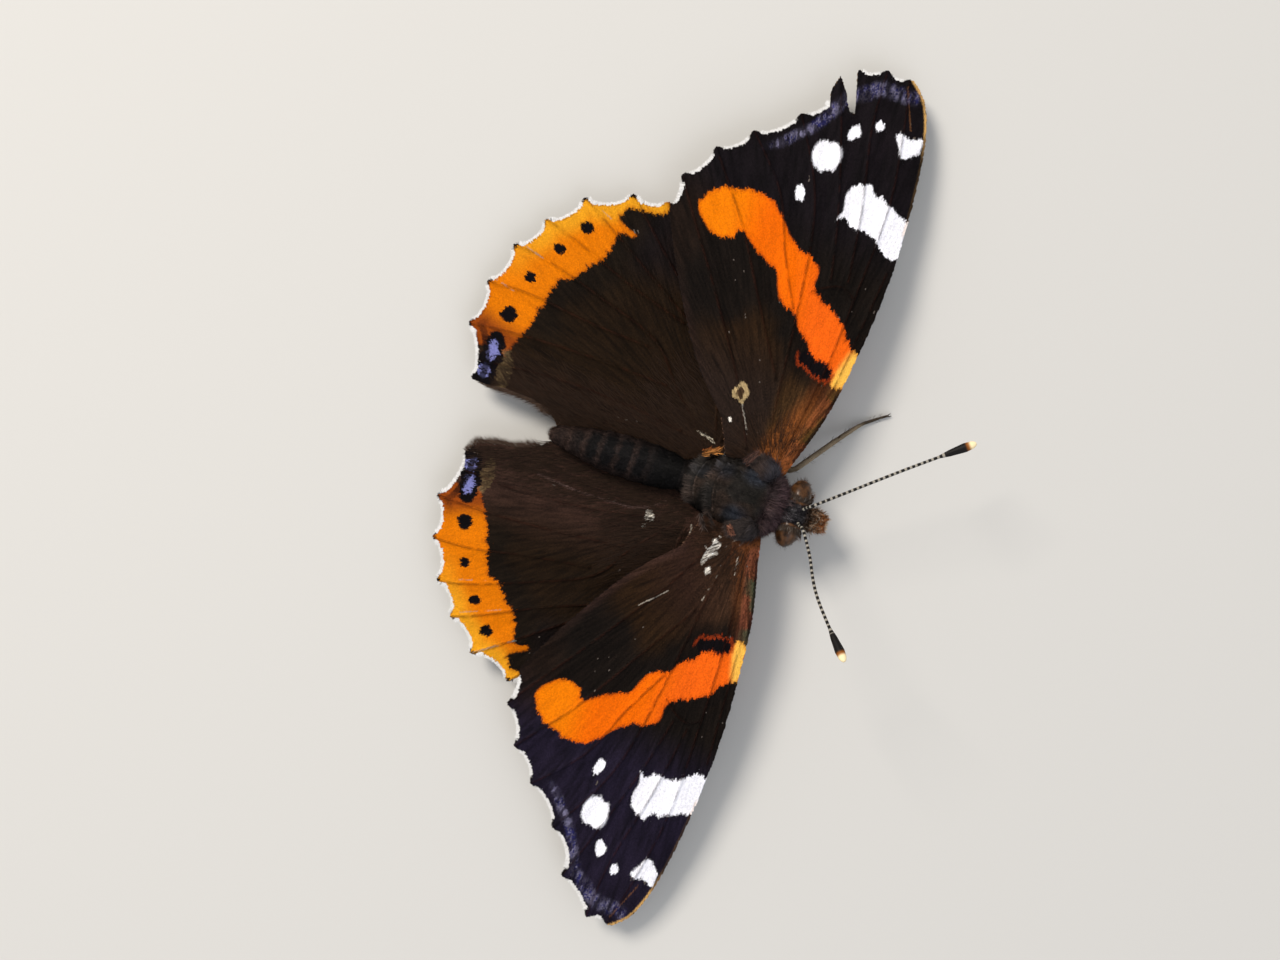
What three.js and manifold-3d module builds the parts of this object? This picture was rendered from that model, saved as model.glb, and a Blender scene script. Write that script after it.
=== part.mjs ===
// Red admiral butterfly, life size, resting with its four wings spread flat. Millimetres.
// +Z is up, the head points along -Y, and the animal's left wings reach along +X.
// A place is written [out, ahead] or [out, ahead, up]. Ahead is positive towards the head.
// Out is measured from the middle line and is positive on the animal's left,
// except on a paired piece, where it is positive away from the body on either side.
import Module from 'manifold-3d';
import * as THREE from 'three';
import { mergeVertices } from 'three/addons/utils/BufferGeometryUtils.js';

const wasm = await Module();
wasm.setup();

const LEFT = 1;
const RIGHT = -1;

// Clearance between two neighbouring pieces.
const GAP = 0.3;

// Body sections: [ahead, half width, top, bottom].
const THORAX = [
  [8.35, 1.25, 5.2, 2.9],
  [8.0, 2.2, 5.8, 2.3],
  [7.2, 2.8, 6.4, 1.9],
  [6.0, 3.0, 6.9, 1.6],
  [4.6, 3.0, 7.1, 1.5],
  [3.3, 2.75, 6.8, 1.6],
  [2.1, 2.35, 6.2, 1.9],
  [1.3, 1.85, 5.7, 2.3],
  [0.95, 1.45, 5.4, 2.6],
];
const HEAD = [
  [10.95, 0.75, 4.6, 3.1],
  [10.75, 1.05, 4.95, 2.8],
  [10.3, 1.3, 5.35, 2.6],
  [9.7, 1.35, 5.5, 2.55],
  [9.1, 1.3, 5.35, 2.7],
  [8.65, 1.1, 5.05, 3.0],
];
const ABDOMEN_START = 0.65;
const ABDOMEN_END = -9.75;
const ABDOMEN_SEGMENTS = 8;
const ABDOMEN_GIRTH = [1.4, 1.7, 1.82, 1.84, 1.8, 1.66, 1.42, 1.1, 0.72];
const ABDOMEN_AXIS = [4.0, 3.95, 3.9, 3.85, 3.85, 3.9, 3.95, 4.05, 4.15];
const SEGMENT_FOLD = 0.94;
const THORAX_SQUARENESS = 2.2;
const HEAD_SQUARENESS = 3;
const ABDOMEN_SQUARENESS = 2;
const THORAX_SIDES = 18;
const HEAD_SIDES = 16;
const ABDOMEN_SIDES = 14;

// The scaly flap that covers the root of each forewing: its place from the middle line and its reach.
const TEGULA = { out: 2.45, ahead: 6.45, up: 5.96, reachOut: 0.95, reachAhead: 1.15, reachUp: 0.33 };
const TEGULA_SIDES = { around: 14, down: 9 };

// The body lies in a slight bow: its middle line stands this far to the left at each place ahead.
const MIDDLE_LINE = [[12, 0.2], [5, 0.3], [0, 0.15], [-9.75, -0.1]];

// Eyes, palps, coiled tongue and feelers.
const EYE = { ahead: 9.75, up: 4.1, reachAhead: 0.94, reachUp: 1.12, bulge: 1.02, rings: 5, sides: 16 };
const PALP = {
  path: [[0.56, 10.95 + GAP, 3.75], [0.62, 11.6, 3.8], [0.57, 12.1, 3.98], [0.44, 12.55, 4.25]],
  radii: [0.34, 0.45, 0.4, 0.18],
  sides: 10,
};
const TONGUE = {
  ahead: 11.62, up: 1.62, inner: 0.3, outer: 1.05, turns: 1, start: 120, radius: 0.25, steps: 16, sides: 6,
};
const FEELER_RADIUS = 0.25;
const CLUB_RADIUS = 0.48;
const CLUB_LENGTH = 2.9;
const FEELER_TIP_RADIUS = 0.2;
const FEELER_SIDES = 8;

// Shares of a feeler's length where its shaft and its club have a section.
const SHAFT_PLACES = [0, 0.025, 0.05, 0.09, 0.25, 0.45, 0.65];
const CLUB_PLACES = [0.86, 0.92, 0.97, 1];
const CLUB_TAPER = 0.9;
const FEELER_ROOT = { ahead: 10.1, turn: 66 };
const FEELER_LEFT = [[1.3, 10.8, 6.15], [2.9, 12.6, 6.6], [6.0, 16.1, 7.3], [9.5, 20.2, 8.4]];
const FEELER_RIGHT = [[0.75, 10.6, 6.35], [2.3, 11.5, 7.5], [5.0, 12.8, 9.4], [8.5, 15.6, 12.6]];

// Wings: thickness of the membrane, how far a vein stands out of each face, and half its width.
const MEMBRANE = 0.5;
const RIDGE = 0.18;
const RIDGE_HALF_WIDTH = 0.42;

// Left forewing in plan. The margin runs through the vein tips, with a shallow bay between each two.
const FORE_HINGE = [2.9, 7.0];
const FORE_FRONT = [
  [3.9, 8.4], [8, 9.6], [12.9, 10.3], [18, 10.75], [24, 10.7], [30, 10.1], [33.6, 9.0], [35.2, 7.4],
];
const FORE_TIPS = [
  [35.2, 7.4], [35.3, 5.4], [33.0, 2.25], [29.7, 0.1], [27.2, -2.9], [25, -5.25], [22.1, -7.0], [19.2, -7.0],
];
const FORE_BAYS = [0.1, 0.2, 0.55, 0.35, 0.3, 0.3, 0.1];
const FORE_REAR = [[19.2, -7.0], [14.5, -4.6], [9, -1.2], [5.2, 2.2]];
const FORE_ROOT = { front: 7.8, rear: 3.5 };
const FORE_TEAR = [[34.25, 3.3], [30.9, 4.0]];
const FORE_VEINS = [
  [[3.5, 7.9], [10, 9.3], [16, 10.0], [20, 10.4]],
  [[3.5, 7.2], [10, 8.2], [17.5, 8.7], [25, 8.9], [31.5, 8.0], [35.2, 7.2]],
  [[17.2, 8.5], [17.7, 7.5], [17.3, 6.4], [16.6, 5.4]],
  [[18.2, 7.8], [24, 7.0], [30.3, 5.7], [35.3, 5.4]],
  [[18, 6.5], [23, 5.4], [28.6, 3.75], [33.0, 2.25]],
  [[3.5, 6.2], [8, 5.6], [14.5, 4.9], [21, 4.0], [25.3, 2.6], [29.7, 0.1]],
  [[14.9, 4.5], [18.6, 2.6], [23.2, 0.6], [27.2, -2.9]],
  [[9.4, 5.0], [13.5, 2.5], [19.5, -1.1], [22.6, -3.4], [25, -5.25]],
  [[3.6, 4.7], [8, 2.5], [14, -1.4], [19, -4.9], [22.1, -7.0]],
];

// Left hindwing in plan.
const HIND_HINGE = [2.9, 2.5];
const HIND_FRONT = [[3.5, 3.3], [5.5, 4.4], [9, 4.3], [13, 2.2], [16.6, -1.6], [18.9, -5.0], [19.9, -7.3]];
const HIND_TIPS = [
  [19.9, -7.3], [19.6, -10.1], [18.1, -13.6], [15.5, -15.9],
  [12.8, -17.6], [9.4, -18.6], [5.9, -18.9], [1.8, -17.2],
];
const HIND_BAYS = [0.25, 0.4, 0.35, 0.35, 0.35, 0.35, 0.3];
const HIND_ROOT = { front: 3.1, rear: 1.3 };
const HIND_INNER_LEFT = [[1.75, -15.7], [1.95, -14], [1.9, -11.8], [1.35, -10.2]];
const HIND_INNER_RIGHT = [[2.75, -14.9], [2.3, -13.3], [2.1, -11.8], [1.45, -10.2]];
const HIND_VEINS = [
  [[3.6, 2.7], [8, 2.6], [13, 0.4], [17, -3.4], [19.9, -7.3]],
  [[3.6, 2.2], [7.5, 1.0], [12, -1.25], [15, -5.2], [19.6, -10.1]],
  [[10.4, -0.9], [12.9, -5], [16.25, -10.5], [18.1, -13.6]],
  [[11.2, -3.0], [12.7, -8], [14.6, -13], [15.5, -15.9]],
  [[3.3, 1.5], [6, -1.6], [9.2, -4.6], [11.1, -10], [12.5, -15], [12.8, -17.6]],
  [[8.6, -5.0], [8.9, -10], [9.5, -15], [9.4, -18.6]],
  [[6.2, -2.6], [6.4, -8], [6.3, -14], [5.9, -18.9]],
  [[3.3, -0.4], [3.9, -6], [3.9, -12], [3.2, -17.8]],
];

// The right wings lie a little turned and tilted, so in plan each is the left one drawn
// with these factors: out = a * out + b * ahead, ahead = c * out + d * ahead, from its hinge.
const AS_DRAWN = [1, 0, 0, 1];
const FORE_FIT_RIGHT = [0.987, 0.065, -0.01, 0.921];
const HIND_FIT_RIGHT = [0.926, -0.091, 0.143, 0.918];

// Height of the middle of each membrane: at the hinge, and its fall at the given distance.
const FORE_RISE = { hinge: 4.85, fall: 2.8, reach: 32, bend: 1.25 };
const HIND_RISE = { hinge: 3.45, fall: 1.55, reach: 21, bend: 1.1 };

// Spacing of the points that carry the wing faces.
const RIM_STEP = 1.35;
const EDGE_STEP = 1.9;
const ROOT_STEP = 0.65;
const VEIN_STEP = 1.45;
const FILL_STEP = 2.5;

// How far the points of a vein's crest, of its foot and of the open membrane keep from the rim
// and from one another. A foot also keeps off every crest by this share of the ridge's half width.
const CREST = { inset: 0.5, apart: 0.6 };
const FOOT = { inset: 0.3, apart: 0.34, offCrest: 0.97 };
const FILL = { inset: 0.8, apart: 0.95 };

// A rim point is shifted by up to this much, so that no four points share one circle.
const RIM_SHIFT = { reach: 0.004, pace: 9 };

// Corners of a triangle that holds every wing with room to spare.
const FAR_CORNERS = [[-900, -800], [1000, -700], [50, 1200]];

// Two places closer than this are one place.
const SAME_PLACE = 0.01;

// The hindwing lies along the abdomen from this far before its end to this far behind its start.
const HIND_BESIDE = { rear: 0.5, front: 0.3 };

// Legs: where each grows from the thorax, as a place ahead and a turn down from level,
// then [out, ahead, up] along the middle of thigh and shin, and of the foot that lies on the floor.
const LEG_RADII = [0.32, 0.34, 0.36, 0.36, 0.3, 0.27, 0.25, 0.22];
const LEGS = [
  {
    name: 'midleg_left',
    root: { ahead: 5.5, turn: -52 },
    shin: [[2.9, 6.4, 1.5], [3.5, 8.6, 2.8], [7.0, 11.2, 0.9]],
    foot: [[8.6, 12.7, 0.24], [9.7, 14.1, 0.22], [10.1, 14.7, 0.2]],
  },
  {
    name: 'midleg_right',
    root: { ahead: 5.5, turn: -52 },
    shin: [[2.8, 5.9, 1.5], [5.4, 7.1, 2.8], [9.0, 4.9, 0.9]],
    foot: [[10.4, 3.5, 0.24], [11.6, 2.1, 0.22], [12.0, 1.5, 0.2]],
  },
  {
    name: 'hindleg_left',
    root: { ahead: 3.0, turn: -50 },
    shin: [[2.6, 2.0, 1.5], [5.0, 0.6, 2.05], [8.4, -4.0, 0.85]],
    foot: [[9.2, -5.8, 0.24], [10.0, -7.5, 0.22], [10.3, -8.1, 0.2]],
  },
  {
    name: 'hindleg_right',
    root: { ahead: 3.0, turn: -50 },
    shin: [[2.4, 2.0, 1.5], [4.7, 0.4, 2.05], [7.8, -4.3, 0.85]],
    foot: [[8.4, -6.2, 0.24], [9.0, -7.9, 0.22], [9.2, -8.6, 0.2]],
  },
];
const FORELEG_ROOT = { ahead: 7.0, turn: -68 };
const FORELEG_ROUTE = [[1.15, 7.8, 1.4], [1.1, 9.0, 1.8], [0.95, 9.9, 1.95]];
const FORELEG_RADII = [0.26, 0.27, 0.27, 0.25, 0.2];
const LEG_SIDES = 8;
const LIMB_STUB = 0.45;
const FEELER_STUB = 0.35;

const MATERIALS = {
  thorax: { color: 0x2e3033, roughness: 0.9, metalness: 0 },
  head: { color: 0x3a2f28, roughness: 0.9, metalness: 0 },
  abdomen: { color: 0x2a2522, roughness: 0.85, metalness: 0 },
  eye: { color: 0x7a4a1c, roughness: 0.25, metalness: 0 },
  palp: { color: 0x7d5534, roughness: 0.85, metalness: 0 },
  tongue: { color: 0x3a2415, roughness: 0.5, metalness: 0 },
  feeler: { color: 0x241f1c, roughness: 0.6, metalness: 0 },
  forewing: { color: 0x35231a, roughness: 0.8, metalness: 0 },
  hindwing: { color: 0x33211a, roughness: 0.8, metalness: 0 },
  leg: { color: 0x77685a, roughness: 0.7, metalness: 0 },
};

const butterfly = new THREE.Group();

function addNode(name, material, geometry) {
  const mesh = new THREE.Mesh(geometry, new THREE.MeshStandardMaterial(MATERIALS[material]));
  mesh.name = name;
  butterfly.add(mesh);
}

// Reads a value between the places of a table of [place, value, value, ...] rows.
function readTable(rows, place) {
  const ordered = rows[0][0] < rows[1][0] ? rows : [...rows].reverse();
  const last = ordered.length - 1;
  const at = Math.min(Math.max(place, ordered[0][0]), ordered[last][0]);
  const k = Math.min(Math.max(ordered.findIndex((row) => row[0] >= at), 1), last);
  const share = (at - ordered[k - 1][0]) / (ordered[k][0] - ordered[k - 1][0]);
  return ordered[k].slice(1).map((value, i) => THREE.MathUtils.lerp(ordered[k - 1][i + 1], value, share));
}

const middleLine = (ahead) => readTable(MIDDLE_LINE, ahead)[0];

// A place on one side of the body, in the model's frame.
const place = (side, [out, ahead, up]) => new THREE.Vector3(side * out, -ahead, up);

// Rounds a sine or cosine towards a square. A higher squareness flattens the sides.
const squared = (value, squareness) => Math.sign(value) * Math.abs(value) ** (2 / squareness);

// Makes one closed body of its corner points and triangles, with the faces turned outwards.
function closedBody(corners, triangles) {
  let volume = 0;
  const cross = new THREE.Vector3();
  triangles.forEach(([a, b, c]) => {
    volume += cross.crossVectors(corners[b], corners[c]).dot(corners[a]);
  });
  const outward = volume > 0 ? triangles : triangles.map(([a, b, c]) => [a, c, b]);
  const geometry = new THREE.BufferGeometry().setFromPoints(corners);
  geometry.setIndex(outward.flat());
  geometry.computeVertexNormals();
  return geometry;
}

// Joins rings of equal count into a skin and closes both ends with a fan.
function loft(rings) {
  const sides = rings[0].length;
  const corners = rings.flat();
  const triangles = [];
  for (let k = 0; k < rings.length - 1; k += 1) {
    for (let i = 0; i < sides; i += 1) {
      const here = k * sides + i;
      const beside = k * sides + ((i + 1) % sides);
      triangles.push([here, beside, here + sides], [beside, beside + sides, here + sides]);
    }
  }
  [0, rings.length - 1].forEach((k) => {
    const centre = new THREE.Vector3();
    rings[k].forEach((corner) => centre.addScaledVector(corner, 1 / sides));
    const hub = corners.push(centre) - 1;
    for (let i = 0; i < sides; i += 1) {
      const here = k * sides + i;
      const beside = k * sides + ((i + 1) % sides);
      triangles.push(k === 0 ? [beside, here, hub] : [here, beside, hub]);
    }
  });
  return closedBody(corners, triangles);
}

// A cross-section of the body.
function bodyRing([ahead, halfWidth, top, bottom], sides, squareness) {
  const up = (top + bottom) / 2;
  const halfHeight = (top - bottom) / 2;
  return Array.from({ length: sides }, (_, i) => {
    const turn = (2 * Math.PI * (i + 0.5)) / sides;
    const out = middleLine(ahead) + halfWidth * squared(Math.cos(turn), squareness);
    return place(LEFT, [out, ahead, up + halfHeight * squared(Math.sin(turn), squareness)]);
  });
}

// A tapered limb along a path, flattened where it lies on the floor.
function limb(path, radii, sides) {
  const tangents = path.map((point, k) => {
    const before = path[Math.max(k - 1, 0)];
    const after = path[Math.min(k + 1, path.length - 1)];
    return new THREE.Vector3().subVectors(after, before).normalize();
  });
  const isUpright = Math.abs(tangents[0].z) > Math.max(Math.abs(tangents[0].x), Math.abs(tangents[0].y));
  const across = new THREE.Vector3(isUpright ? 1 : 0, 0, isUpright ? 0 : 1).cross(tangents[0]).normalize();
  const rings = path.map((point, k) => {
    if (k > 0) {
      across.applyQuaternion(new THREE.Quaternion().setFromUnitVectors(tangents[k - 1], tangents[k]));
    }
    const upward = new THREE.Vector3().crossVectors(tangents[k], across);
    return Array.from({ length: sides }, (_, i) => {
      const turn = (2 * Math.PI * (i + 0.5)) / sides;
      const corner = point.clone();
      corner.addScaledVector(across, radii[k] * Math.cos(turn));
      corner.addScaledVector(upward, radii[k] * Math.sin(turn));
      corner.z = Math.max(corner.z, 0);
      return corner;
    });
  });
  return loft(rings);
}

// The first two places of a limb that stands square on the body, clear of its surface.
function rootOn(table, squareness, side, { ahead, turn }, stub) {
  const [halfWidth, top, bottom] = readTable(table, ahead);
  const halfHeight = (top - bottom) / 2;
  const angle = THREE.MathUtils.degToRad(turn);
  const slope = (value, half) => (Math.sign(value) * Math.abs(value / half) ** (squareness - 1)) / half;
  const x = halfWidth * squared(Math.cos(angle), squareness);
  const z = halfHeight * squared(Math.sin(angle), squareness);
  const normal = new THREE.Vector3(side * slope(x, halfWidth), 0, slope(z, halfHeight)).normalize();
  const surface = place(LEFT, [middleLine(ahead) + side * x, ahead, (top + bottom) / 2 + z]);
  return [GAP, GAP + stub].map((lift) => surface.clone().addScaledVector(normal, lift));
}

function toManifold(geometry) {
  const bare = geometry.clone();
  bare.deleteAttribute('normal');
  bare.deleteAttribute('uv');
  const merged = mergeVertices(bare);
  const vertProperties = new Float32Array(merged.attributes.position.array);
  const triVerts = new Uint32Array(merged.index.array);
  return new wasm.Manifold(new wasm.Mesh({ numProp: 3, vertProperties, triVerts }));
}

// Joins solids that sink into one another into one closed body.
function fuse(geometries) {
  const joined = geometries.map(toManifold).reduce((all, one) => all.add(one)).getMesh();
  const geometry = new THREE.BufferGeometry();
  geometry.setAttribute('position', new THREE.BufferAttribute(new Float32Array(joined.vertProperties), 3));
  geometry.setIndex([...joined.triVerts]);
  geometry.computeVertexNormals();
  return geometry;
}

function tegula(side) {
  const lobe = new THREE.SphereGeometry(1, TEGULA_SIDES.around, TEGULA_SIDES.down);
  lobe.scale(TEGULA.reachOut, TEGULA.reachAhead, TEGULA.reachUp);
  const out = TEGULA.out + side * middleLine(TEGULA.ahead);
  return lobe.translate(...place(side, [out, TEGULA.ahead, TEGULA.up]));
}

// Thorax, head and abdomen.
const trunk = loft(THORAX.map((section) => bodyRing(section, THORAX_SIDES, THORAX_SQUARENESS)));
addNode('thorax', 'thorax', fuse([trunk, tegula(LEFT), tegula(RIGHT)]));
addNode('head', 'head', loft(HEAD.map((section) => bodyRing(section, HEAD_SIDES, HEAD_SQUARENESS))));

function abdomenSections() {
  const length = ABDOMEN_START - ABDOMEN_END;
  const sections = [];
  for (let k = 0; k <= ABDOMEN_SEGMENTS; k += 1) {
    const ahead = ABDOMEN_START - (length * k) / ABDOMEN_SEGMENTS;
    const girth = ABDOMEN_GIRTH[k];
    const axis = ABDOMEN_AXIS[k];
    const folded = girth * (k > 0 && k < ABDOMEN_SEGMENTS ? SEGMENT_FOLD : 1);
    sections.push([ahead, folded, axis + folded, axis - folded]);
    if (k < ABDOMEN_SEGMENTS) {
      const middle = THREE.MathUtils.lerp(girth, ABDOMEN_GIRTH[k + 1], 0.5);
      const level = THREE.MathUtils.lerp(axis, ABDOMEN_AXIS[k + 1], 0.5);
      sections.push([ahead - length / ABDOMEN_SEGMENTS / 2, middle, level + middle, level - middle]);
    }
  }
  return sections;
}

const ABDOMEN = abdomenSections();
const abdomenRings = ABDOMEN.map((section) => bodyRing(section, ABDOMEN_SIDES, ABDOMEN_SQUARENESS));
addNode('abdomen', 'abdomen', loft(abdomenRings));

// Edge of the body beside a wing root, seen from above, on either side.
function bodyEdge(side, ahead) {
  const table = ahead > ABDOMEN_START ? THORAX : ABDOMEN;
  return side * middleLine(ahead) + readTable(table, ahead)[0];
}

// An eye is a dome set against the flat side of the head.
function eye(side) {
  const rings = [];
  const root = Math.max(...HEAD.map((section) => section[1])) + GAP;
  for (let k = 0; k < EYE.rings; k += 1) {
    const lift = (k / EYE.rings) * (Math.PI / 2);
    const out = side * middleLine(EYE.ahead) + root + EYE.bulge * Math.sin(lift);
    rings.push(Array.from({ length: EYE.sides }, (_, i) => {
      const turn = (2 * Math.PI * i) / EYE.sides;
      const ahead = EYE.ahead + EYE.reachAhead * Math.cos(lift) * Math.cos(turn);
      return place(side, [out, ahead, EYE.up + EYE.reachUp * Math.cos(lift) * Math.sin(turn)]);
    }));
  }
  return loft(rings);
}

// The tongue lies coiled under the palps, its outer end at the face.
function tongue() {
  const path = Array.from({ length: TONGUE.steps + 1 }, (_, k) => {
    const share = k / TONGUE.steps;
    const turn = THREE.MathUtils.degToRad(TONGUE.start - 360 * TONGUE.turns * share);
    const radius = THREE.MathUtils.lerp(TONGUE.outer, TONGUE.inner, share);
    const ahead = TONGUE.ahead + radius * Math.cos(turn);
    return place(LEFT, [middleLine(ahead), ahead, TONGUE.up + radius * Math.sin(turn)]);
  });
  return limb(path, path.map(() => TONGUE.radius), TONGUE.sides);
}

addNode('proboscis', 'tongue', tongue());

// A feeler is a thin straight shaft that ends in a club.
function feeler(side, route) {
  const stub = rootOn(HEAD, HEAD_SQUARENESS, side, FEELER_ROOT, FEELER_STUB);
  const curve = new THREE.CatmullRomCurve3([...stub, ...route.map((point) => place(side, point))]);
  const shaft = [...SHAFT_PLACES, 1 - CLUB_LENGTH / curve.getLength()];
  const swell = (FEELER_RADIUS + CLUB_RADIUS) / 2;
  const club = [swell, CLUB_RADIUS, CLUB_RADIUS * CLUB_TAPER, FEELER_TIP_RADIUS];
  const path = [...shaft, ...CLUB_PLACES].map((share) => curve.getPointAt(share));
  return limb(path, [...shaft.map(() => FEELER_RADIUS), ...club], FEELER_SIDES);
}

// Points of an outline or a vein, at even steps along a smooth line through a few places.
function along(places, step) {
  const curve = new THREE.SplineCurve(places.map(([out, ahead]) => new THREE.Vector2(out, ahead)));
  return curve.getSpacedPoints(Math.max(Math.round(curve.getLength() / step), 1));
}

// The margin through the vein tips, drawn in by a smooth bay between each two.
function margin(tips, bays) {
  const points = [];
  tips.slice(0, -1).forEach(([out, ahead], k) => {
    const start = new THREE.Vector2(out, ahead);
    const chord = new THREE.Vector2(...tips[k + 1]).sub(start);
    const inward = new THREE.Vector2(chord.y, -chord.x).normalize();
    const steps = Math.max(Math.round(chord.length() / RIM_STEP), 2);
    for (let i = 0; i < steps; i += 1) {
      const share = i / steps;
      const point = start.clone().addScaledVector(chord, share);
      points.push(point.addScaledVector(inward, bays[k] * Math.sin(Math.PI * share)));
    }
  });
  points.push(new THREE.Vector2(...tips[tips.length - 1]));
  return points;
}

function distanceToRim(point, rim) {
  const onFloor = ({ x, y }) => new THREE.Vector3(x, y, 0);
  const flat = onFloor(point);
  const nearest = new THREE.Vector3();
  return Math.min(...rim.map((corner, i) => {
    const edge = new THREE.Line3(onFloor(corner), onFloor(rim[(i + 1) % rim.length]));
    return edge.closestPointToPoint(flat, true, nearest).distanceTo(flat);
  }));
}

function isInside(point, rim) {
  let inside = false;
  rim.forEach((corner, i) => {
    const next = rim[(i + 1) % rim.length];
    const crosses = corner.y > point.y !== next.y > point.y;
    const reach = ((next.x - corner.x) * (point.y - corner.y)) / (next.y - corner.y) + corner.x;
    if (crosses && point.x < reach) inside = !inside;
  });
  return inside;
}

// Delaunay triangles of plan points, made by adding one point after another
// to a first triangle that is far wider than the animal.
function delaunay(points) {
  const count = points.length;
  const frame = FAR_CORNERS.map((corner) => new THREE.Vector2(...corner));
  const all = [...points, ...frame];
  const withCircle = (corners) => {
    const [a, b, c] = corners.map((index) => all[index]);
    const twice = 2 * (a.x * (b.y - c.y) + b.x * (c.y - a.y) + c.x * (a.y - b.y));
    const x = (a.lengthSq() * (b.y - c.y) + b.lengthSq() * (c.y - a.y) + c.lengthSq() * (a.y - b.y)) / twice;
    const y = (a.lengthSq() * (c.x - b.x) + b.lengthSq() * (a.x - c.x) + c.lengthSq() * (b.x - a.x)) / twice;
    const centre = new THREE.Vector2(x, y);
    return { corners, centre, radius: centre.distanceTo(a) };
  };
  let triangles = [withCircle([count, count + 1, count + 2])];
  points.forEach((point, index) => {
    const touched = triangles.filter(({ centre, radius }) => centre.distanceTo(point) < radius);
    const edges = new Map();
    touched.forEach(({ corners }) => corners.forEach((from, i) => {
      const to = corners[(i + 1) % 3];
      if (!edges.delete(`${to},${from}`)) edges.set(`${from},${to}`, [from, to]);
    }));
    triangles = triangles.filter((triangle) => !touched.includes(triangle));
    edges.forEach(([from, to]) => triangles.push(withCircle([from, to, index])));
  });
  return triangles.map(({ corners }) => corners).filter((corners) => corners.every((index) => index < count));
}

// Triangles that fill the rim and use each of its edges. A rim edge that is missing is halved.
function fillRim(rim, inner) {
  const edgesOf = ([a, b, c]) => [`${a},${b}`, `${b},${c}`, `${c},${a}`];
  for (;;) {
    const points = [...rim, ...inner];
    const triangles = delaunay(points).filter((corners) => {
      const middle = new THREE.Vector2();
      corners.forEach((index) => middle.addScaledVector(points[index], 1 / 3));
      return isInside(middle, rim);
    });
    const names = new Set(triangles.flatMap(edgesOf));
    const missing = rim.findIndex((_, i) => {
      const next = (i + 1) % rim.length;
      return !names.has(`${i},${next}`) && !names.has(`${next},${i}`);
    });
    if (missing < 0) return { points, triangles };
    const next = rim[(missing + 1) % rim.length];
    rim.splice(missing + 1, 0, rim[missing].clone().lerp(next, 0.5));
  }
}

// A wing: one mesh in plan, used alike on both faces, with the veins raised out of each face.
function wing({ side, outline, veins, height }) {
  const shift = (i) => RIM_SHIFT.reach * Math.sin(RIM_SHIFT.pace * i);
  const rim = outline.map((point, i) => point.clone().addScalar(shift(i)));
  const inner = [];
  const crests = [];
  const isClear = (point, distance) => inner.every((other) => other.distanceTo(point) >= distance);
  const fits = (point, inset) => isInside(point, rim) && distanceToRim(point, rim) >= inset;
  const lines = veins.map((vein) => along(vein, VEIN_STEP));
  lines.flat().forEach((point) => {
    if (fits(point, CREST.inset) && isClear(point, CREST.apart)) {
      inner.push(point);
      crests.push(point);
    }
  });
  lines.forEach((line) => line.forEach((point, i) => {
    const ahead = line[Math.min(i + 1, line.length - 1)];
    const tangent = ahead.clone().sub(line[Math.max(i - 1, 0)]).normalize();
    [RIDGE_HALF_WIDTH, -RIDGE_HALF_WIDTH].forEach((reach) => {
      const foot = new THREE.Vector2(point.x - tangent.y * reach, point.y + tangent.x * reach);
      const offCrests = crests.every((crest) => crest.distanceTo(foot) >= RIDGE_HALF_WIDTH * FOOT.offCrest);
      if (offCrests && fits(foot, FOOT.inset) && isClear(foot, FOOT.apart)) inner.push(foot);
    });
  }));
  const box = new THREE.Box2().setFromPoints(rim);
  for (let row = 0; box.min.y + row * FILL_STEP < box.max.y; row += 1) {
    for (let column = 0; box.min.x + column * FILL_STEP < box.max.x; column += 1) {
      const stagger = row % 2 ? 0.5 : 0;
      const point = new THREE.Vector2(column + stagger, row).multiplyScalar(FILL_STEP).add(box.min);
      if (fits(point, FILL.inset) && isClear(point, FILL.apart)) inner.push(point);
    }
  }
  const { points, triangles } = fillRim(rim, inner);
  const raised = new Set(crests);
  const face = (facing) => points.map((point) => {
    const lift = MEMBRANE / 2 + (raised.has(point) ? RIDGE : 0);
    return place(side, [point.x, point.y, height(point) + facing * lift]);
  });
  const count = points.length;
  const lower = triangles.map(([a, b, c]) => [a + count, c + count, b + count]);
  const clockwise = THREE.ShapeUtils.isClockWise(rim);
  const wall = rim.flatMap((_, i) => {
    const next = (i + 1) % rim.length;
    const [from, to] = clockwise ? [next, i] : [i, next];
    return [[from, from + count, to], [to, from + count, to + count]];
  });
  return closedBody([...face(1), ...face(-1)], [...triangles, ...lower, ...wall]);
}

// Height of a membrane, falling from its hinge to the margin.
function fallFrom(hinge, { hinge: top, fall, reach, bend }) {
  const start = new THREE.Vector2(...hinge);
  return (point) => top - fall * (start.distanceTo(point) / reach) ** bend;
}

// Draws the places of the left wing as they lie on this side.
function fitPlaces(places, hinge, [a, b, c, d]) {
  return places.map(([out, ahead]) => {
    const x = out - hinge[0];
    const y = ahead - hinge[1];
    return [hinge[0] + a * x + b * y, hinge[1] + c * x + d * y];
  });
}

// The edge that faces the body between two places ahead, with the clearance that pieces keep.
function rootEdge(side, from, to, step) {
  const count = Math.max(Math.round(Math.abs(to - from) / step), 1);
  return Array.from({ length: count + 1 }, (_, i) => {
    const ahead = THREE.MathUtils.lerp(from, to, i / count);
    return new THREE.Vector2(bodyEdge(side, ahead) + GAP, ahead);
  });
}

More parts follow.
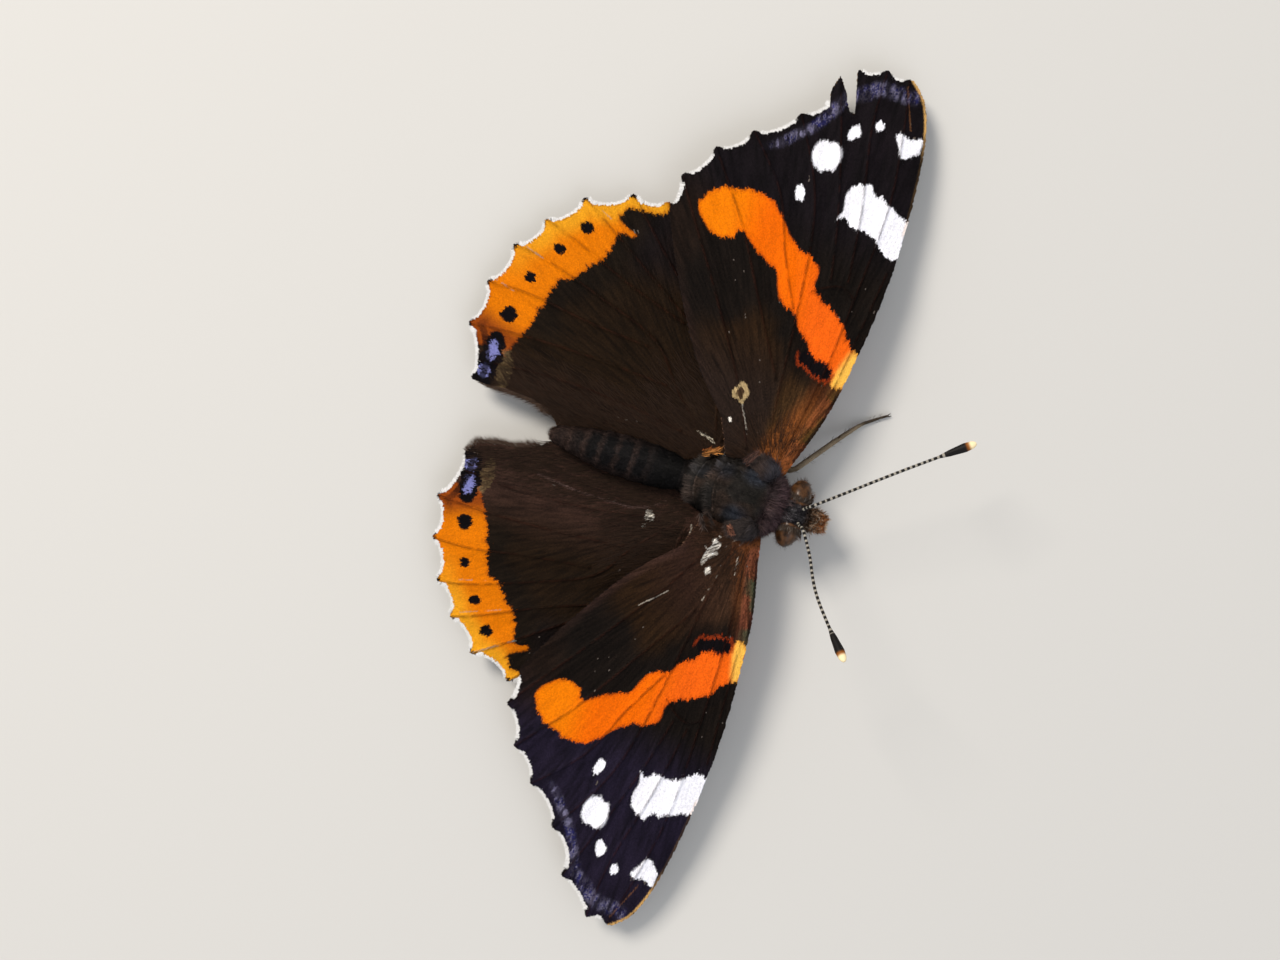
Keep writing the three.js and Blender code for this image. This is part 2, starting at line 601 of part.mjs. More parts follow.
function forewing(side, fit, tear) {
  const fitted = (places) => fitPlaces(places, FORE_HINGE, fit);
  const outer = margin(fitted(FORE_TIPS), FORE_BAYS);
  if (tear) {
    const tips = FORE_TIPS.map((tip) => new THREE.Vector2(...tip));
    const from = outer.findIndex((point) => point.distanceTo(tips[1]) < SAME_PLACE);
    const to = outer.findIndex((point) => point.distanceTo(tips[2]) < SAME_PLACE);
    const torn = [...along([FORE_TIPS[1], tear[0]], RIM_STEP).slice(1), new THREE.Vector2(...tear[1])];
    outer.splice(from + 1, to - from - 1, ...torn);
  }
  const outline = [
    ...rootEdge(side, FORE_ROOT.rear, FORE_ROOT.front, ROOT_STEP),
    ...along(fitted(FORE_FRONT), EDGE_STEP),
    ...outer.slice(1),
    ...along(fitted(FORE_REAR), EDGE_STEP).slice(1),
  ];
  return wing({
    side,
    outline,
    veins: FORE_VEINS.map(fitted),
    height: fallFrom(FORE_HINGE, FORE_RISE),
  });
}

function hindwing(side, fit, inner) {
  const fitted = (places) => fitPlaces(places, HIND_HINGE, fit);
  const { rear, front } = HIND_BESIDE;
  const besideBody = rootEdge(side, ABDOMEN_END + rear, ABDOMEN_START - front, RIM_STEP);
  const outline = [
    ...along(fitted(HIND_FRONT), EDGE_STEP),
    ...margin(fitted(HIND_TIPS), HIND_BAYS).slice(1),
    ...inner.map((place) => new THREE.Vector2(...place)),
    ...besideBody,
    ...rootEdge(side, HIND_ROOT.rear, HIND_ROOT.front, ROOT_STEP),
  ];
  return wing({
    side,
    outline,
    veins: HIND_VEINS.map(fitted),
    height: fallFrom(HIND_HINGE, HIND_RISE),
  });
}

addNode('forewing_left', 'forewing', forewing(LEFT, AS_DRAWN, FORE_TEAR));
addNode('forewing_right', 'forewing', forewing(RIGHT, FORE_FIT_RIGHT));
addNode('hindwing_left', 'hindwing', hindwing(LEFT, AS_DRAWN, HIND_INNER_LEFT));
addNode('hindwing_right', 'hindwing', hindwing(RIGHT, HIND_FIT_RIGHT, HIND_INNER_RIGHT));

// Pieces that come in pairs.
[['left', LEFT, FEELER_LEFT], ['right', RIGHT, FEELER_RIGHT]].forEach(([word, side, route]) => {
  const onHead = ([out, ahead, up]) => place(side, [out + side * middleLine(ahead), ahead, up]);
  addNode(`eye_${word}`, 'eye', eye(side));
  addNode(`palp_${word}`, 'palp', limb(PALP.path.map(onHead), PALP.radii, PALP.sides));
  addNode(`antenna_${word}`, 'feeler', feeler(side, route));
  const stub = rootOn(THORAX, THORAX_SQUARENESS, side, FORELEG_ROOT, LIMB_STUB);
  const foreleg = [...stub, ...FORELEG_ROUTE.map(onHead)];
  addNode(`foreleg_${word}`, 'leg', limb(foreleg, FORELEG_RADII, LEG_SIDES));
});

LEGS.forEach(({ name, root, shin, foot }) => {
  const side = name.endsWith('left') ? LEFT : RIGHT;
  const stub = rootOn(THORAX, THORAX_SQUARENESS, side, root, LIMB_STUB);
  const path = [...stub, ...[...shin, ...foot].map((point) => place(side, point))];
  addNode(name, 'leg', limb(path, LEG_RADII, LEG_SIDES));
});

// The origin stands on the floor under the middle of the whole animal.
const box = new THREE.Box3().setFromObject(butterfly);
const middle = box.getCenter(new THREE.Vector3());
butterfly.position.set(-middle.x, -middle.y, 0);

export default butterfly;
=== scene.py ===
"""Dresses the solids of a life-size red admiral in wing scales, fur, eyes, feelers and legs."""

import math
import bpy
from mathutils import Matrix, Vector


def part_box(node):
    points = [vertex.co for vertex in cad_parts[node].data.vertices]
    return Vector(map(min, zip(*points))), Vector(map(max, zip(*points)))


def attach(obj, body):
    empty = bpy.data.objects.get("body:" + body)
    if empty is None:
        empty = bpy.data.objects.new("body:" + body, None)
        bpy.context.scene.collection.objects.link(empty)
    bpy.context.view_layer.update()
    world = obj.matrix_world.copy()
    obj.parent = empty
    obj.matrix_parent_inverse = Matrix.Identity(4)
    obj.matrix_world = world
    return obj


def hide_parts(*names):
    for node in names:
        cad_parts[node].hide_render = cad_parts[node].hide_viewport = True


bl_info = {
    "name": "Red Admiral Butterfly",
    "version": (1, 0, 0),
    "blender": (4, 5, 0),
    "location": "View3D > Sidebar > Butterfly",
    "description": "Builds the scales, fur and fine parts of a life-size red admiral at rest",
    "category": "Object",
}

import bpy
import numpy as np
from bpy.props import FloatProperty, FloatVectorProperty, IntProperty, PointerProperty
from mathutils import Matrix, Vector
from mathutils.geometry import delaunay_2d_cdt

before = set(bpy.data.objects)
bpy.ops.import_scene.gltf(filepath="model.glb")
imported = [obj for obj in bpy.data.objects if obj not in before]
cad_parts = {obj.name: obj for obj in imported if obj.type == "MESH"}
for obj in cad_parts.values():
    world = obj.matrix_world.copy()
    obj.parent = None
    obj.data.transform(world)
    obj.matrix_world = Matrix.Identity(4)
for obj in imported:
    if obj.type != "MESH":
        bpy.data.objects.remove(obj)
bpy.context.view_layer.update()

# Places are in millimetres, as (out, ahead, up): out is positive away from the middle line on
# the given side, or on the animal's left, and ahead is positive towards the head.
MM = 0.001
LEFT, RIGHT = 1, -1
SIDES = ((LEFT, "left"), (RIGHT, "right"))
THORAX_FRONT = 8.35
THORAX_MIDDLE = 0.29
_low, _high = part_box("thorax")
ORIGIN = np.array([(_low.x + _high.x) / 2 / MM - THORAX_MIDDLE, _low.y / MM + THORAX_FRONT, 0.0])

# Body sections: (ahead, half width, top, bottom, squareness).
BODY = [
    (10.98, 0.3, 4.1, 3.6, 3),
    (10.95, 0.75, 4.6, 3.1, 3),
    (10.75, 1.05, 4.95, 2.8, 3),
    (10.3, 1.3, 5.35, 2.6, 3),
    (9.7, 1.35, 5.5, 2.55, 3),
    (9.1, 1.3, 5.35, 2.7, 3),
    (8.65, 1.35, 5.15, 2.9, 2.6),
    (8.45, 1.45, 5.2, 2.8, 2.3),
    (8.2, 1.8, 5.55, 2.6, 2.2),
    (7.8, 2.35, 5.95, 2.2, 2.2),
    (7.2, 2.8, 6.4, 1.9, 2.2),
    (6.0, 3.0, 6.9, 1.6, 2.2),
    (4.6, 3.0, 7.1, 1.5, 2.2),
    (3.3, 2.75, 6.8, 1.6, 2.2),
    (2.1, 2.35, 6.2, 1.9, 2.2),
    (1.3, 1.85, 5.7, 2.3, 2.2),
    (0.8, 1.5, 5.42, 2.55, 2.1),
    (0.4, 1.5, 5.5, 2.5, 2),
    (-0.65, 1.7, 5.65, 2.25, 2),
    (-1.95, 1.82, 5.72, 2.08, 2),
    (-3.25, 1.84, 5.69, 2.01, 2),
    (-4.55, 1.8, 5.65, 2.05, 2),
    (-5.85, 1.66, 5.56, 2.24, 2),
    (-7.15, 1.42, 5.37, 2.53, 2),
    (-8.45, 1.1, 5.15, 2.95, 2),
    (-9.4, 0.8, 4.93, 3.37, 2),
    (-9.75, 0.45, 4.6, 3.7, 2),
    (-9.8, 0.1, 4.25, 4.05, 2),
]
# How far out the thorax reaches beside the wing roots: (ahead, out).
THORAX_EDGE = [
    (8.35, 1.25), (8.0, 2.2), (7.2, 2.8), (6.0, 3.0), (4.6, 3.0), (3.3, 2.75), (2.1, 2.35),
    (1.3, 1.85), (0.95, 1.45),
]
ABDOMEN_START, ABDOMEN_END, ABDOMEN_SEGMENTS = 0.65, -9.75, 8
# Half width of the abdomen at each of its folds.
ABDOMEN_GIRTH = (1.4, 1.7, 1.82, 1.84, 1.8, 1.66, 1.42, 1.1, 0.72)
ABDOMEN_FOLDS = np.linspace(ABDOMEN_START, ABDOMEN_END, ABDOMEN_SEGMENTS + 1)
# Tufts of bright hair where the wings join the thorax: side, root, tip, half width, two tones.
TUFTS = [
    (LEFT, (2.2, 1.5, 5.45), (3.0, 2.9, 5.4), 0.3, ("#8a4a20", "#d08a48")),
    (LEFT, (2.4, 4.8, 6.25), (3.9, 5.6, 5.9), 0.45, ("#33241f", "#5a4038")),
    (RIGHT, (2.1, 5.2, 6.2), (2.9, 5.9, 6.0), 0.28, ("#55362b", "#9a6650")),
    (RIGHT, (1.9, 3.2, 6.0), (3.2, 4.0, 5.5), 0.45, ("#332a26", "#5c4a43")),
]
# Bluish patches on the back of the thorax: place ahead, place across from -1 to 1, reach, strength.
THORAX_SHEEN = [(6.0, 0.58, 1.2, 0.75), (3.8, 0.5, 0.8, 0.35), (5.4, -0.6, 1.2, 0.6), (2.2, 0.35, 0.7, 0.25)]
# Points of the body's middle line: (ahead, how far it lies to the animal's left).
MIDDLE_LINE = ((-9.75, -0.1), (0, 0.15), (5, 0.3), (12, 0.2))

# Wings in plan, drawn for the left side.
FORE_HINGE = (2.9, 7.0)
FORE_FRONT = [
    (3.9, 8.4), (8, 9.6), (12.9, 10.3), (18, 10.75), (24, 10.7), (30, 10.1), (33.6, 9.0), (35.2, 7.4),
]
FORE_TIPS = [
    (35.2, 7.4), (35.3, 5.4), (33.0, 2.25), (29.7, 0.1), (27.2, -2.9), (25, -5.25), (22.1, -7.0),
    (19.2, -7.0),
]
# How deep the margin's bay is between each two vein tips.
FORE_BAYS = (0.1, 0.2, 0.55, 0.35, 0.3, 0.3, 0.1)
FORE_REAR = [(19.2, -7.0), (14.5, -4.6), (9, -1.2), (5.2, 2.2)]
# Where along the body the root of the wing starts and ends.
FORE_ROOT = (7.8, 3.5)
FORE_TEAR = [(34.6, 3.2), (30.95, 4.15), (31.05, 3.6), (32.4, 2.88), (33.5, 2.1), (32.3, 1.78)]
FORE_VEINS = [
    [(3.5, 7.9), (10, 9.3), (16, 10.0), (20, 10.4)],
    [(3.5, 7.2), (10, 8.2), (17.5, 8.7), (25, 8.9), (31.5, 8.0), (35.2, 7.2)],
    [(17.2, 8.5), (17.7, 7.5), (17.3, 6.4), (16.6, 5.4)],
    [(18.2, 7.8), (24, 7.0), (30.3, 5.7), (35.3, 5.4)],
    [(18, 6.5), (23, 5.4), (28.6, 3.75), (33.0, 2.25)],
    [(3.5, 6.2), (8, 5.6), (14.5, 4.9), (21, 4.0), (25.3, 2.6), (29.7, 0.1)],
    [(14.9, 4.5), (18.6, 2.6), (23.2, 0.6), (27.2, -2.9)],
    [(9.4, 5.0), (13.5, 2.5), (19.5, -1.1), (22.6, -3.4), (25, -5.25)],
    [(3.6, 4.7), (8, 2.5), (14, -1.4), (19, -4.9), (22.1, -7.0)],
]
HIND_HINGE = (2.9, 2.5)
HIND_FRONT = [(3.5, 3.3), (5.5, 4.4), (9, 4.3), (13, 2.2), (16.6, -1.6), (18.9, -5.0), (19.9, -7.3)]
HIND_TIPS = [
    (19.9, -7.3), (19.6, -10.1), (18.1, -13.6), (15.5, -15.9), (12.8, -17.6), (9.4, -18.6),
    (5.9, -18.9), (1.8, -17.2),
]
HIND_BAYS = (0.25, 0.4, 0.35, 0.35, 0.35, 0.35, 0.3)
HIND_ROOT = (3.1, 1.3)
HIND_INNER = {
    LEFT: [(1.75, -15.7), (1.95, -14), (1.9, -11.8), (1.35, -10.2)],
    RIGHT: [(2.75, -14.9), (2.3, -13.3), (2.1, -11.8), (1.45, -10.2)],
}
HIND_VEINS = [
    [(3.6, 2.7), (8, 2.6), (13, 0.4), (17, -3.4), (19.9, -7.3)],
    [(3.6, 2.2), (7.5, 1.0), (12, -1.25), (15, -5.2), (19.6, -10.1)],
    [(10.4, -0.9), (12.9, -5), (16.25, -10.5), (18.1, -13.6)],
    [(11.2, -3.0), (12.7, -8), (14.6, -13), (15.5, -15.9)],
    [(3.3, 1.5), (6, -1.6), (9.2, -4.6), (11.1, -10), (12.5, -15), (12.8, -17.6)],
    [(8.6, -5.0), (8.9, -10), (9.5, -15), (9.4, -18.6)],
    [(6.2, -2.6), (6.4, -8), (6.3, -14), (5.9, -18.9)],
    [(3.3, -0.4), (3.9, -6), (3.9, -12), (3.2, -17.8)],
]
# The crease beside the abdomen, as it lies on the right hindwing; a painted sheen follows it.
HIND_FOLD_RIGHT = [(2.1, 0.33), (3.29, -1.63), (3.61, -5.3), (3.6, -7.2), (3.41, -9.64)]
# How the wings lie against the drawing: the right ones are turned and drawn in a little.
AS_DRAWN = ((1, 0), (0, 1))
FORE_FIT_RIGHT = ((0.987, 0.065), (-0.01, 0.921))
HIND_FIT_RIGHT = ((0.926, -0.091), (0.143, 0.918))
FORE_RISE = {"hinge": 4.85, "fall": 2.8, "reach": 32, "bend": 1.25}
HIND_RISE = {"hinge": 3.45, "fall": 1.55, "reach": 21, "bend": 1.1}
# The membrane's form: half width of a vein, how far the membrane sags between the veins and
# over what width, and the depth and length of its waves.
VEIN_SPREAD = 0.13
SAG_DEPTH, SAG_SPREAD = 0.11, 0.8
WAVE_DEPTH, WAVE_LENGTH = 0.12, 2.6

# Markings of the forewing's upper side, drawn for the left side.
BAND = [
    (13, 10.5), (14, 9.1), (14.7, 8.8), (15.5, 7.75), (16.25, 6.4), (17, 5.5), (18, 5.5), (18.9, 5.0),
    (19.3, 4.0), (19.8, 3.0), (20.6, 2.2), (21.6, 1.2), (22.4, 0.4), (22.7, -0.6), (22.5, -2),
    (22.1, -3.3), (21.7, -4.3), (21, -4.8), (20, -4.9), (19, -4.1), (18.4, -3), (18.5, -1.9),
    (19.3, -1.1), (18.9, -0.4), (18.1, 0.6), (17.6, 1.5), (17.2, 2.4), (16.25, 2.8), (15.25, 3.3),
    (14.75, 4.0), (14.4, 4.9), (13.6, 5.3), (13, 6), (12.6, 6.5), (12, 6.9), (11.75, 7.75),
    (11.2, 8.75), (10.1, 9.3), (10.6, 10.3),
]
CELL_SPOT = [
    (10.5, 8.6), (11.1, 8.9), (11.5, 8.2), (11.7, 7.4), (12.2, 6.7), (12.0, 6.2), (11.3, 6.2),
    (11.0, 7.0), (10.5, 7.6),
]
COSTAL_BAR = [
    (21.1, 10.9), (24.1, 10.9), (24.4, 9.8), (24.8, 9.2), (25.3, 8.2), (25.5, 7.5), (26, 7.0), (25.6, 5.9),
    (24.75, 5.5), (23.5, 5.7), (22.6, 5.4), (22.9, 6.1), (22.3, 6.75), (22.5, 7.75), (22, 8.75), (21.2, 9.75),
]
APEX_PATCH = [(29.6, 9.8), (30.9, 9.7), (30.5, 9.0), (30.6, 7.7), (29.6, 8.1), (28.9, 8.8)]
# Ovals: (place, (half length, half width), turn in degrees).
FORE_SPOTS = [
    ((27.1, 3.1), (1.2, 1.05), 20),
    ((23.6, 2.1), (0.62, 0.36), -18),
    ((29.6, 4.55), (0.62, 0.42), 25),
    ((30.75, 6.25), (0.42, 0.34), 0),
]
APEX_STREAK = [(31.2, 8.6), (34.4, 7.3)]
VIOLET_LINE = [(33.7, 7.9), (33.7, 5.5), (32.0, 3.1), (29.0, 1.5), (26.8, -0.7), (26.1, -2.0)]
HIND_BAND = [
    (4.2, -15.4), (5.3, -14.9), (7, -14.2), (8.5, -13.9), (10, -13.5), (11.2, -13.2), (11.6, -12.3),
    (12.75, -11.6), (14, -10.5), (15.4, -10.1), (16.3, -10.0), (16.2, -9.2), (16.5, -8.7),
    (16.8, -9.4), (17.3, -10.4), (18.1, -10.2), (18.5, -9), (18.7, -7.7), (19.4, -7.0), (21.5, -9),
    (20, -14), (16, -18), (10, -20.5), (4.5, -20), (4.6, -17.2), (5.3, -16.4),
]
HIND_DOTS = [
    ((15.9, -12.6), (0.5, 0.45), 0),
    ((13.6, -14.0), (0.4, 0.5), 20),
    ((10.75, -15.45), (0.4, 0.48), 0),
    ((7.5, -16.05), (0.62, 0.66), 10),
]
TORNUS_BLACK = [
    (1.6, -15.6), (3.2, -15.4), (5.3, -15.5), (6.0, -16.2), (5.5, -17.0), (3.8, -17.1), (2.4, -17.4),
    (1.4, -16.9),
]
TORNUS_BLUES = [((4.4, -16.32), (0.85, 0.46), -8), ((2.75, -16.4), (0.6, 0.42), -5)]
# Places where scales are rubbed off: (place, (half length, half width), turn, tone).
WORN = {
    ("forewing", LEFT): [
        ((7.45, 2.92), (0.8, 0.5), -20, "#9c8660"),
        ((7.4, 2.9), (0.4, 0.22), -20, "#3a2a1c"),
        ((5.3, 2.83), (0.15, 0.13), 0, "#ddd6cb"),
    ],
    ("forewing", RIGHT): [
        ((4.46, 4.79), (1.0, 0.38), -16, "#ddd6cb"),
        ((5.92, 5.02), (0.34, 0.2), 0, "#ddd6cb"),
    ],
    ("hindwing", LEFT): [((3.44, 1.6), (0.82, 0.13), 104, "#c4b9a4")],
    ("hindwing", RIGHT): [
        ((3.51, -0.46), (0.56, 0.27), 20, "#d5cec0"),
        ((4.34, -0.72), (0.28, 0.16), 0, "#d5cec0"),
    ],
}
# Bare stretches of vein that show as fine pale lines.
BARE_VEINS = {
    ("forewing", LEFT): [[(6.6, 3.3), (4.6, 4.4)]],
    ("forewing", RIGHT): [
        [(2.9, 6.3), (5.64, 4.45)],
        [(3.2, 6.67), (5.46, 7.0)],
        [(6.1, 5.8), (8.2, 5.35)],
        [(8.4, 2.7), (10.2, 1.0)],
    ],
    ("hindwing", LEFT): [
        [(18.0, -13.1), (17.1, -11.0)],
        [(13.0, -16.8), (12.3, -14.5)],
        [(9.75, -18.0), (9.3, -16.1)],
    ],
    ("hindwing", RIGHT): [
        [(2.95, 2.67), (4.7, 3.05)],
        [(4.7, 3.05), (5.0, 2.75)],
        [(2.5, 3.2), (3.9, 3.55)],
        [(13.2, -12.75), (12.5, -10.5)],
        [(15.6, -11.9), (14.3, -8.9)],
        [(18.5, -10.3), (16.1, -7.0)],
    ],
}

EYE_AHEAD, EYE_UP = 9.75, 4.1
EYE_REACH = {"ahead": 0.94, "up": 1.12, "bulge": 1.02}
EYE_PLANE = 1.65
PALP_PATH = [(0.42, 10.4, 3.6), (0.45, 11.25, 3.75), (0.46, 11.6, 3.82), (0.4, 12.0, 3.98), (0.3, 12.35, 4.2)]
TEGULA = {"out": 2.45, "ahead": 6.45, "up": 5.96, "reach_out": 0.95, "reach_ahead": 1.15, "reach_up": 0.22}
TONGUE = {"ahead": 11.62, "up": 1.62, "outer": 1.2, "inner": 0.3, "turns": 3.2, "start": 120}
FEELER_PATHS = {
    LEFT: [
        (0.55, 10.1, 4.9), (0.95, 10.4, 5.55), (1.3, 10.8, 6.15), (2.9, 12.6, 6.6), (6.0, 16.1, 7.3),
        (9.5, 20.2, 8.4),
    ],
    RIGHT: [
        (0.2, 10.1, 4.9), (0.5, 10.3, 5.6), (0.75, 10.6, 6.35), (2.3, 11.5, 7.5), (5.0, 12.8, 9.4),
        (8.5, 15.6, 12.6),
    ],
}
RING_PITCH = 0.42
SHAFT_RADIUS = 0.105
CLUB_LENGTH, CLUB_RADIUS = 2.9, 0.35
# Share of the club's radius at each share of its length, from the tip.
CLUB_FORM = ((0, 0.2), (0.03, 0.55), (0.1, 0.8), (0.3, 1.0), (0.7, 0.7), (1.0, 0.29))
LEG_PATHS = {
    "midleg_left": [
        (1.6, 5.5, 2.4), (2.9, 6.4, 1.5), (3.4, 8.8, 2.8), (7.0, 11.5, 0.95), (8.75, 12.9, 0.26),
        (9.7, 14.1, 0.22), (10.15, 14.75, 0.2),
    ],
    "midleg_right": [
        (1.3, 5.5, 2.4), (2.8, 5.9, 1.5), (5.4, 7.1, 2.8), (9.0, 4.9, 0.9), (10.4, 3.5, 0.24),
        (11.6, 2.1, 0.22), (12.0, 1.5, 0.2),
    ],
    "hindleg_left": [
        (1.6, 3.0, 2.4), (2.6, 2.0, 1.5), (5.0, 0.6, 2.05), (8.4, -4.0, 0.85), (9.2, -5.8, 0.24),
        (10.0, -7.5, 0.22), (10.3, -8.1, 0.2),
    ],
    "hindleg_right": [
        (1.3, 3.0, 2.4), (2.4, 2.0, 1.5), (4.7, 0.4, 2.05), (7.8, -4.3, 0.85), (8.4, -6.2, 0.24),
        (9.0, -7.9, 0.22), (9.2, -8.6, 0.2),
    ],
}
FORELEG_PATHS = {
    "foreleg_left": [(0.95, 7.0, 2.3), (1.35, 7.8, 1.4), (1.3, 9.0, 1.8), (1.15, 9.9, 1.95)],
    "foreleg_right": [(0.75, 7.0, 2.3), (0.95, 7.8, 1.4), (0.9, 9.0, 1.8), (0.75, 9.9, 1.95)],
}
# Radius of a leg at each of its joints.
LEG_RADII = (0.34, 0.3, 0.22, 0.2, 0.13, 0.09, 0.07)
FORELEG_RADII = (0.26, 0.24, 0.22, 0.12)
# The bake square: the width of its empty border, and the span of what lies inside.
BAKE_EDGE, BAKE_SPAN = 0.02, 0.96


def linear(code):
    """An sRGB hex colour as linear red, green and blue."""
    channels = [int(code[i : i + 2], 16) / 255 for i in (1, 3, 5)]
    return tuple(c / 12.92 if c <= 0.04045 else ((c + 0.055) / 1.055) ** 2.4 for c in channels)


def length_of(name, description, millimetres):
    """A length that the user can change."""
    return FloatProperty(
        name=name, description=description, default=millimetres * MM, unit="LENGTH", min=0.0, precision=5
    )


def tone_of(name, description, code):
    """A colour that the user can change."""
    return FloatVectorProperty(
        name=name, description=description, default=linear(code), subtype="COLOR", size=3, min=0.0, max=1.0
    )


class AdmiralWingSizes(bpy.types.PropertyGroup):
    """Sizes of the scales and the membrane that carries them."""

    row_pitch: length_of("Row pitch", "Distance from one row of scales to the next", 0.12)
    scale_pitch: length_of("Scale pitch", "Distance between neighbouring scales in a row", 0.092)
    scale_length: length_of("Scale length", "Length of a wing scale", 0.22)
    fringe_length: length_of("Fringe length", "How far the fringe stands out of the membrane", 0.46)
    membrane: length_of("Membrane", "Thickness of the wing membrane", 0.12)
    vein_height: length_of("Vein height", "How far a vein stands out of the membrane", 0.1)


class AdmiralCoatSizes(bpy.types.PropertyGroup):
    """Lengths and counts of the body's fur."""

    thorax_hair: length_of("Thorax hair", "Length of the hair on the thorax", 1.25)
    abdomen_hair: length_of("Abdomen hair", "Length of the hair on the abdomen", 0.5)
    head_hair: length_of("Head hair", "Length of the hair on the head", 0.42)
    base_hair: length_of("Wing base hair", "Length of the hair on the bases of the wings", 1.7)
    hair_width: length_of("Hair width", "Width of a body hair at its middle", 0.042)
    body_hairs: IntProperty(
        name="Body hairs", description="Number of hairs on the body", default=135000, min=1
    )


class AdmiralTones(bpy.types.PropertyGroup):
    """Colours of the pigments, as they look in daylight."""

    wing_brown: tone_of("Wing brown", "Ground colour near the wing bases", "#3f2b17")
    wing_dark: tone_of("Dark brown", "Ground colour of the middle of the wings", "#1b0f06")
    wing_black: tone_of("Wing black", "Ground colour towards the wing tips", "#0f0b0f")
    band_red: tone_of("Band red", "Forewing band near its front end", "#e05c0d")
    band_orange: tone_of("Band orange", "Middle of the forewing band", "#dc6000")
    band_gold: tone_of("Band gold", "Rear end of the forewing band", "#dc7200")
    cream: tone_of("Cream", "Forewing band where it meets the front edge", "#e9b44b")
    hind_orange: tone_of("Hindwing orange", "Margin band of the hindwing", "#cc6c00")
    hind_gold: tone_of("Hindwing gold", "Outer part of the hindwing's margin band", "#d8961c")
    white: tone_of("White", "Bars and spots of the forewing tip", "#e9e8ef")
    violet: tone_of("Violet", "Bluish scales along the forewing margin", "#6b6780")
    blue: tone_of("Blue", "Spot at the inner corner of the hindwing", "#6f71a6")
    fringe: tone_of("Fringe", "Pale scales of the fringe", "#dcdad8")
    fur: tone_of("Fur", "Hair on the back of the thorax", "#2c2825")
    eye: tone_of("Eye", "Compound eyes", "#5a3b22")
    leg: tone_of("Leg", "Scales of the legs", "#867660")


RUST = "#8a4a1e"
OLIVE = "#3d3014"
RED_RIM = "#8a2f0c"
SOOT = "#080507"
HAIR_BROWN = "#261a12"
BARE_VEIN = "#958c80"
DEEP_BLUE = "#2a2a5e"
FOOT_BROWN = "#2b211b"


def spline(places, step):
    """Points at even steps along a smooth line through the places."""
    places = np.asarray(places, float)
    padded = np.vstack([places[:1], places, places[-1:]])
    share = np.linspace(0, 1, 24, endpoint=False)[:, None]
    pieces = []
    for k in range(len(places) - 1):
        before, start, end, after = padded[k : k + 4]
        leave, arrive = (end - before) / 2, (after - start) / 2
        pieces.append(
            (2 * start - 2 * end + leave + arrive) * share**3
            + (-3 * start + 3 * end - 2 * leave - arrive) * share**2
            + leave * share
            + start
        )
    return even_steps(np.vstack([*pieces, places[-1:]]), step)


def run_along(line):
    """How far along a line each of its points lies."""
    return np.concatenate([[0], np.cumsum(np.linalg.norm(np.diff(line, axis=0), axis=1))])


def even_steps(line, step):
    """The same line with its points at even steps."""
    run = run_along(line)
    count = max(int(round(run[-1] / step)), 1)
    marks = np.linspace(0, run[-1], count + 1)
    return np.stack([np.interp(marks, run, line[:, i]) for i in range(line.shape[1])], axis=1)


def unit(vectors):
    """The same directions at length one."""
    return vectors / np.maximum(np.linalg.norm(vectors, axis=1), 1e-9)[:, None]


def laid_flat(ways, normals):
    """Directions turned down onto the surface that the normals stand on."""
    return unit(ways - normals * np.sum(ways * normals, axis=1)[:, None])


def even_out(ways, reach):
    """Directions along a line, each averaged over an odd number of its neighbours."""
    padded = np.pad(ways, ((reach // 2, reach // 2), (0, 0)), mode="edge")
    return unit(np.stack([np.convolve(padded[:, i], np.ones(reach), "valid") for i in (0, 1)], axis=1))


def distance_from(points, line):
    """Distance of each point from a line of points."""
    line = np.asarray(line, float)
    best = np.full(len(points), np.inf)
    for start, end in zip(line[:-1], line[1:]):
        edge = end - start
        share = np.clip(((points - start) @ edge) / max(edge @ edge, 1e-12), 0, 1)
        offset = points - start - share[:, None] * edge
        best = np.minimum(best, np.einsum("ij,ij->i", offset, offset))
    return np.sqrt(best)


def is_inside(points, rim):
    """Which points lie inside a closed outline."""
    inside = np.zeros(len(points), bool)
    x, y = points[:, 0], points[:, 1]
    for (x0, y0), (x1, y1) in zip(rim, np.roll(rim, -1, axis=0)):
        if y0 == y1:
            continue
        crosses = (y0 > y) != (y1 > y)
        inside ^= crosses & (x < (x1 - x0) * (y - y0) / (y1 - y0) + x0)
    return inside


def depth_inside(points, places):
    """How deep each point lies inside a smooth closed outline; negative outside it."""
    rim = spline([*places, places[0]], 0.3)
    distance = distance_from(points, rim)
    return np.where(is_inside(points, rim[:-1]), distance, -distance)


def smooth(low, high, value):
    """Rises from 0 at low to 1 at high, or falls where high is the smaller."""
    share = np.clip((value - low) / (high - low), 0, 1)
    return share * share * (3 - 2 * share)


def grain(points, size, seed):
    """Smooth noise from 0 to 1 in the plane, with features of about the given size."""
    cell = np.floor(points[:, :2] / size).astype(int)
    share = points[:, :2] / size - cell
    share = share * share * (3 - 2 * share)

    def corner(dx, dy):
        value = np.sin((cell[:, 0] + dx) * 127.1 + (cell[:, 1] + dy) * 311.7 + seed * 74.7) * 43758.5453
        return value - np.floor(value)

    lower = corner(0, 0) * (1 - share[:, 0]) + corner(1, 0) * share[:, 0]
    upper = corner(0, 1) * (1 - share[:, 0]) + corner(1, 1) * share[:, 0]
    return lower * (1 - share[:, 1]) + upper * share[:, 1]


def as_tone(tone):
    """A tone that is given as its hex code or as linear red, green and blue."""
    return np.array(linear(tone) if isinstance(tone, str) else tone)


def plain(tone, count):
    """The same tone at each of a number of points."""
    return np.tile(as_tone(tone), (count, 1))


def lay(colours, share, tone):
    """Lays a tone, or other colours, over the colours, as strongly as share says at each point."""
    share = np.broadcast_to(np.asarray(share, float), len(colours))[:, None]
    return colours * (1 - share) + as_tone(tone) * share


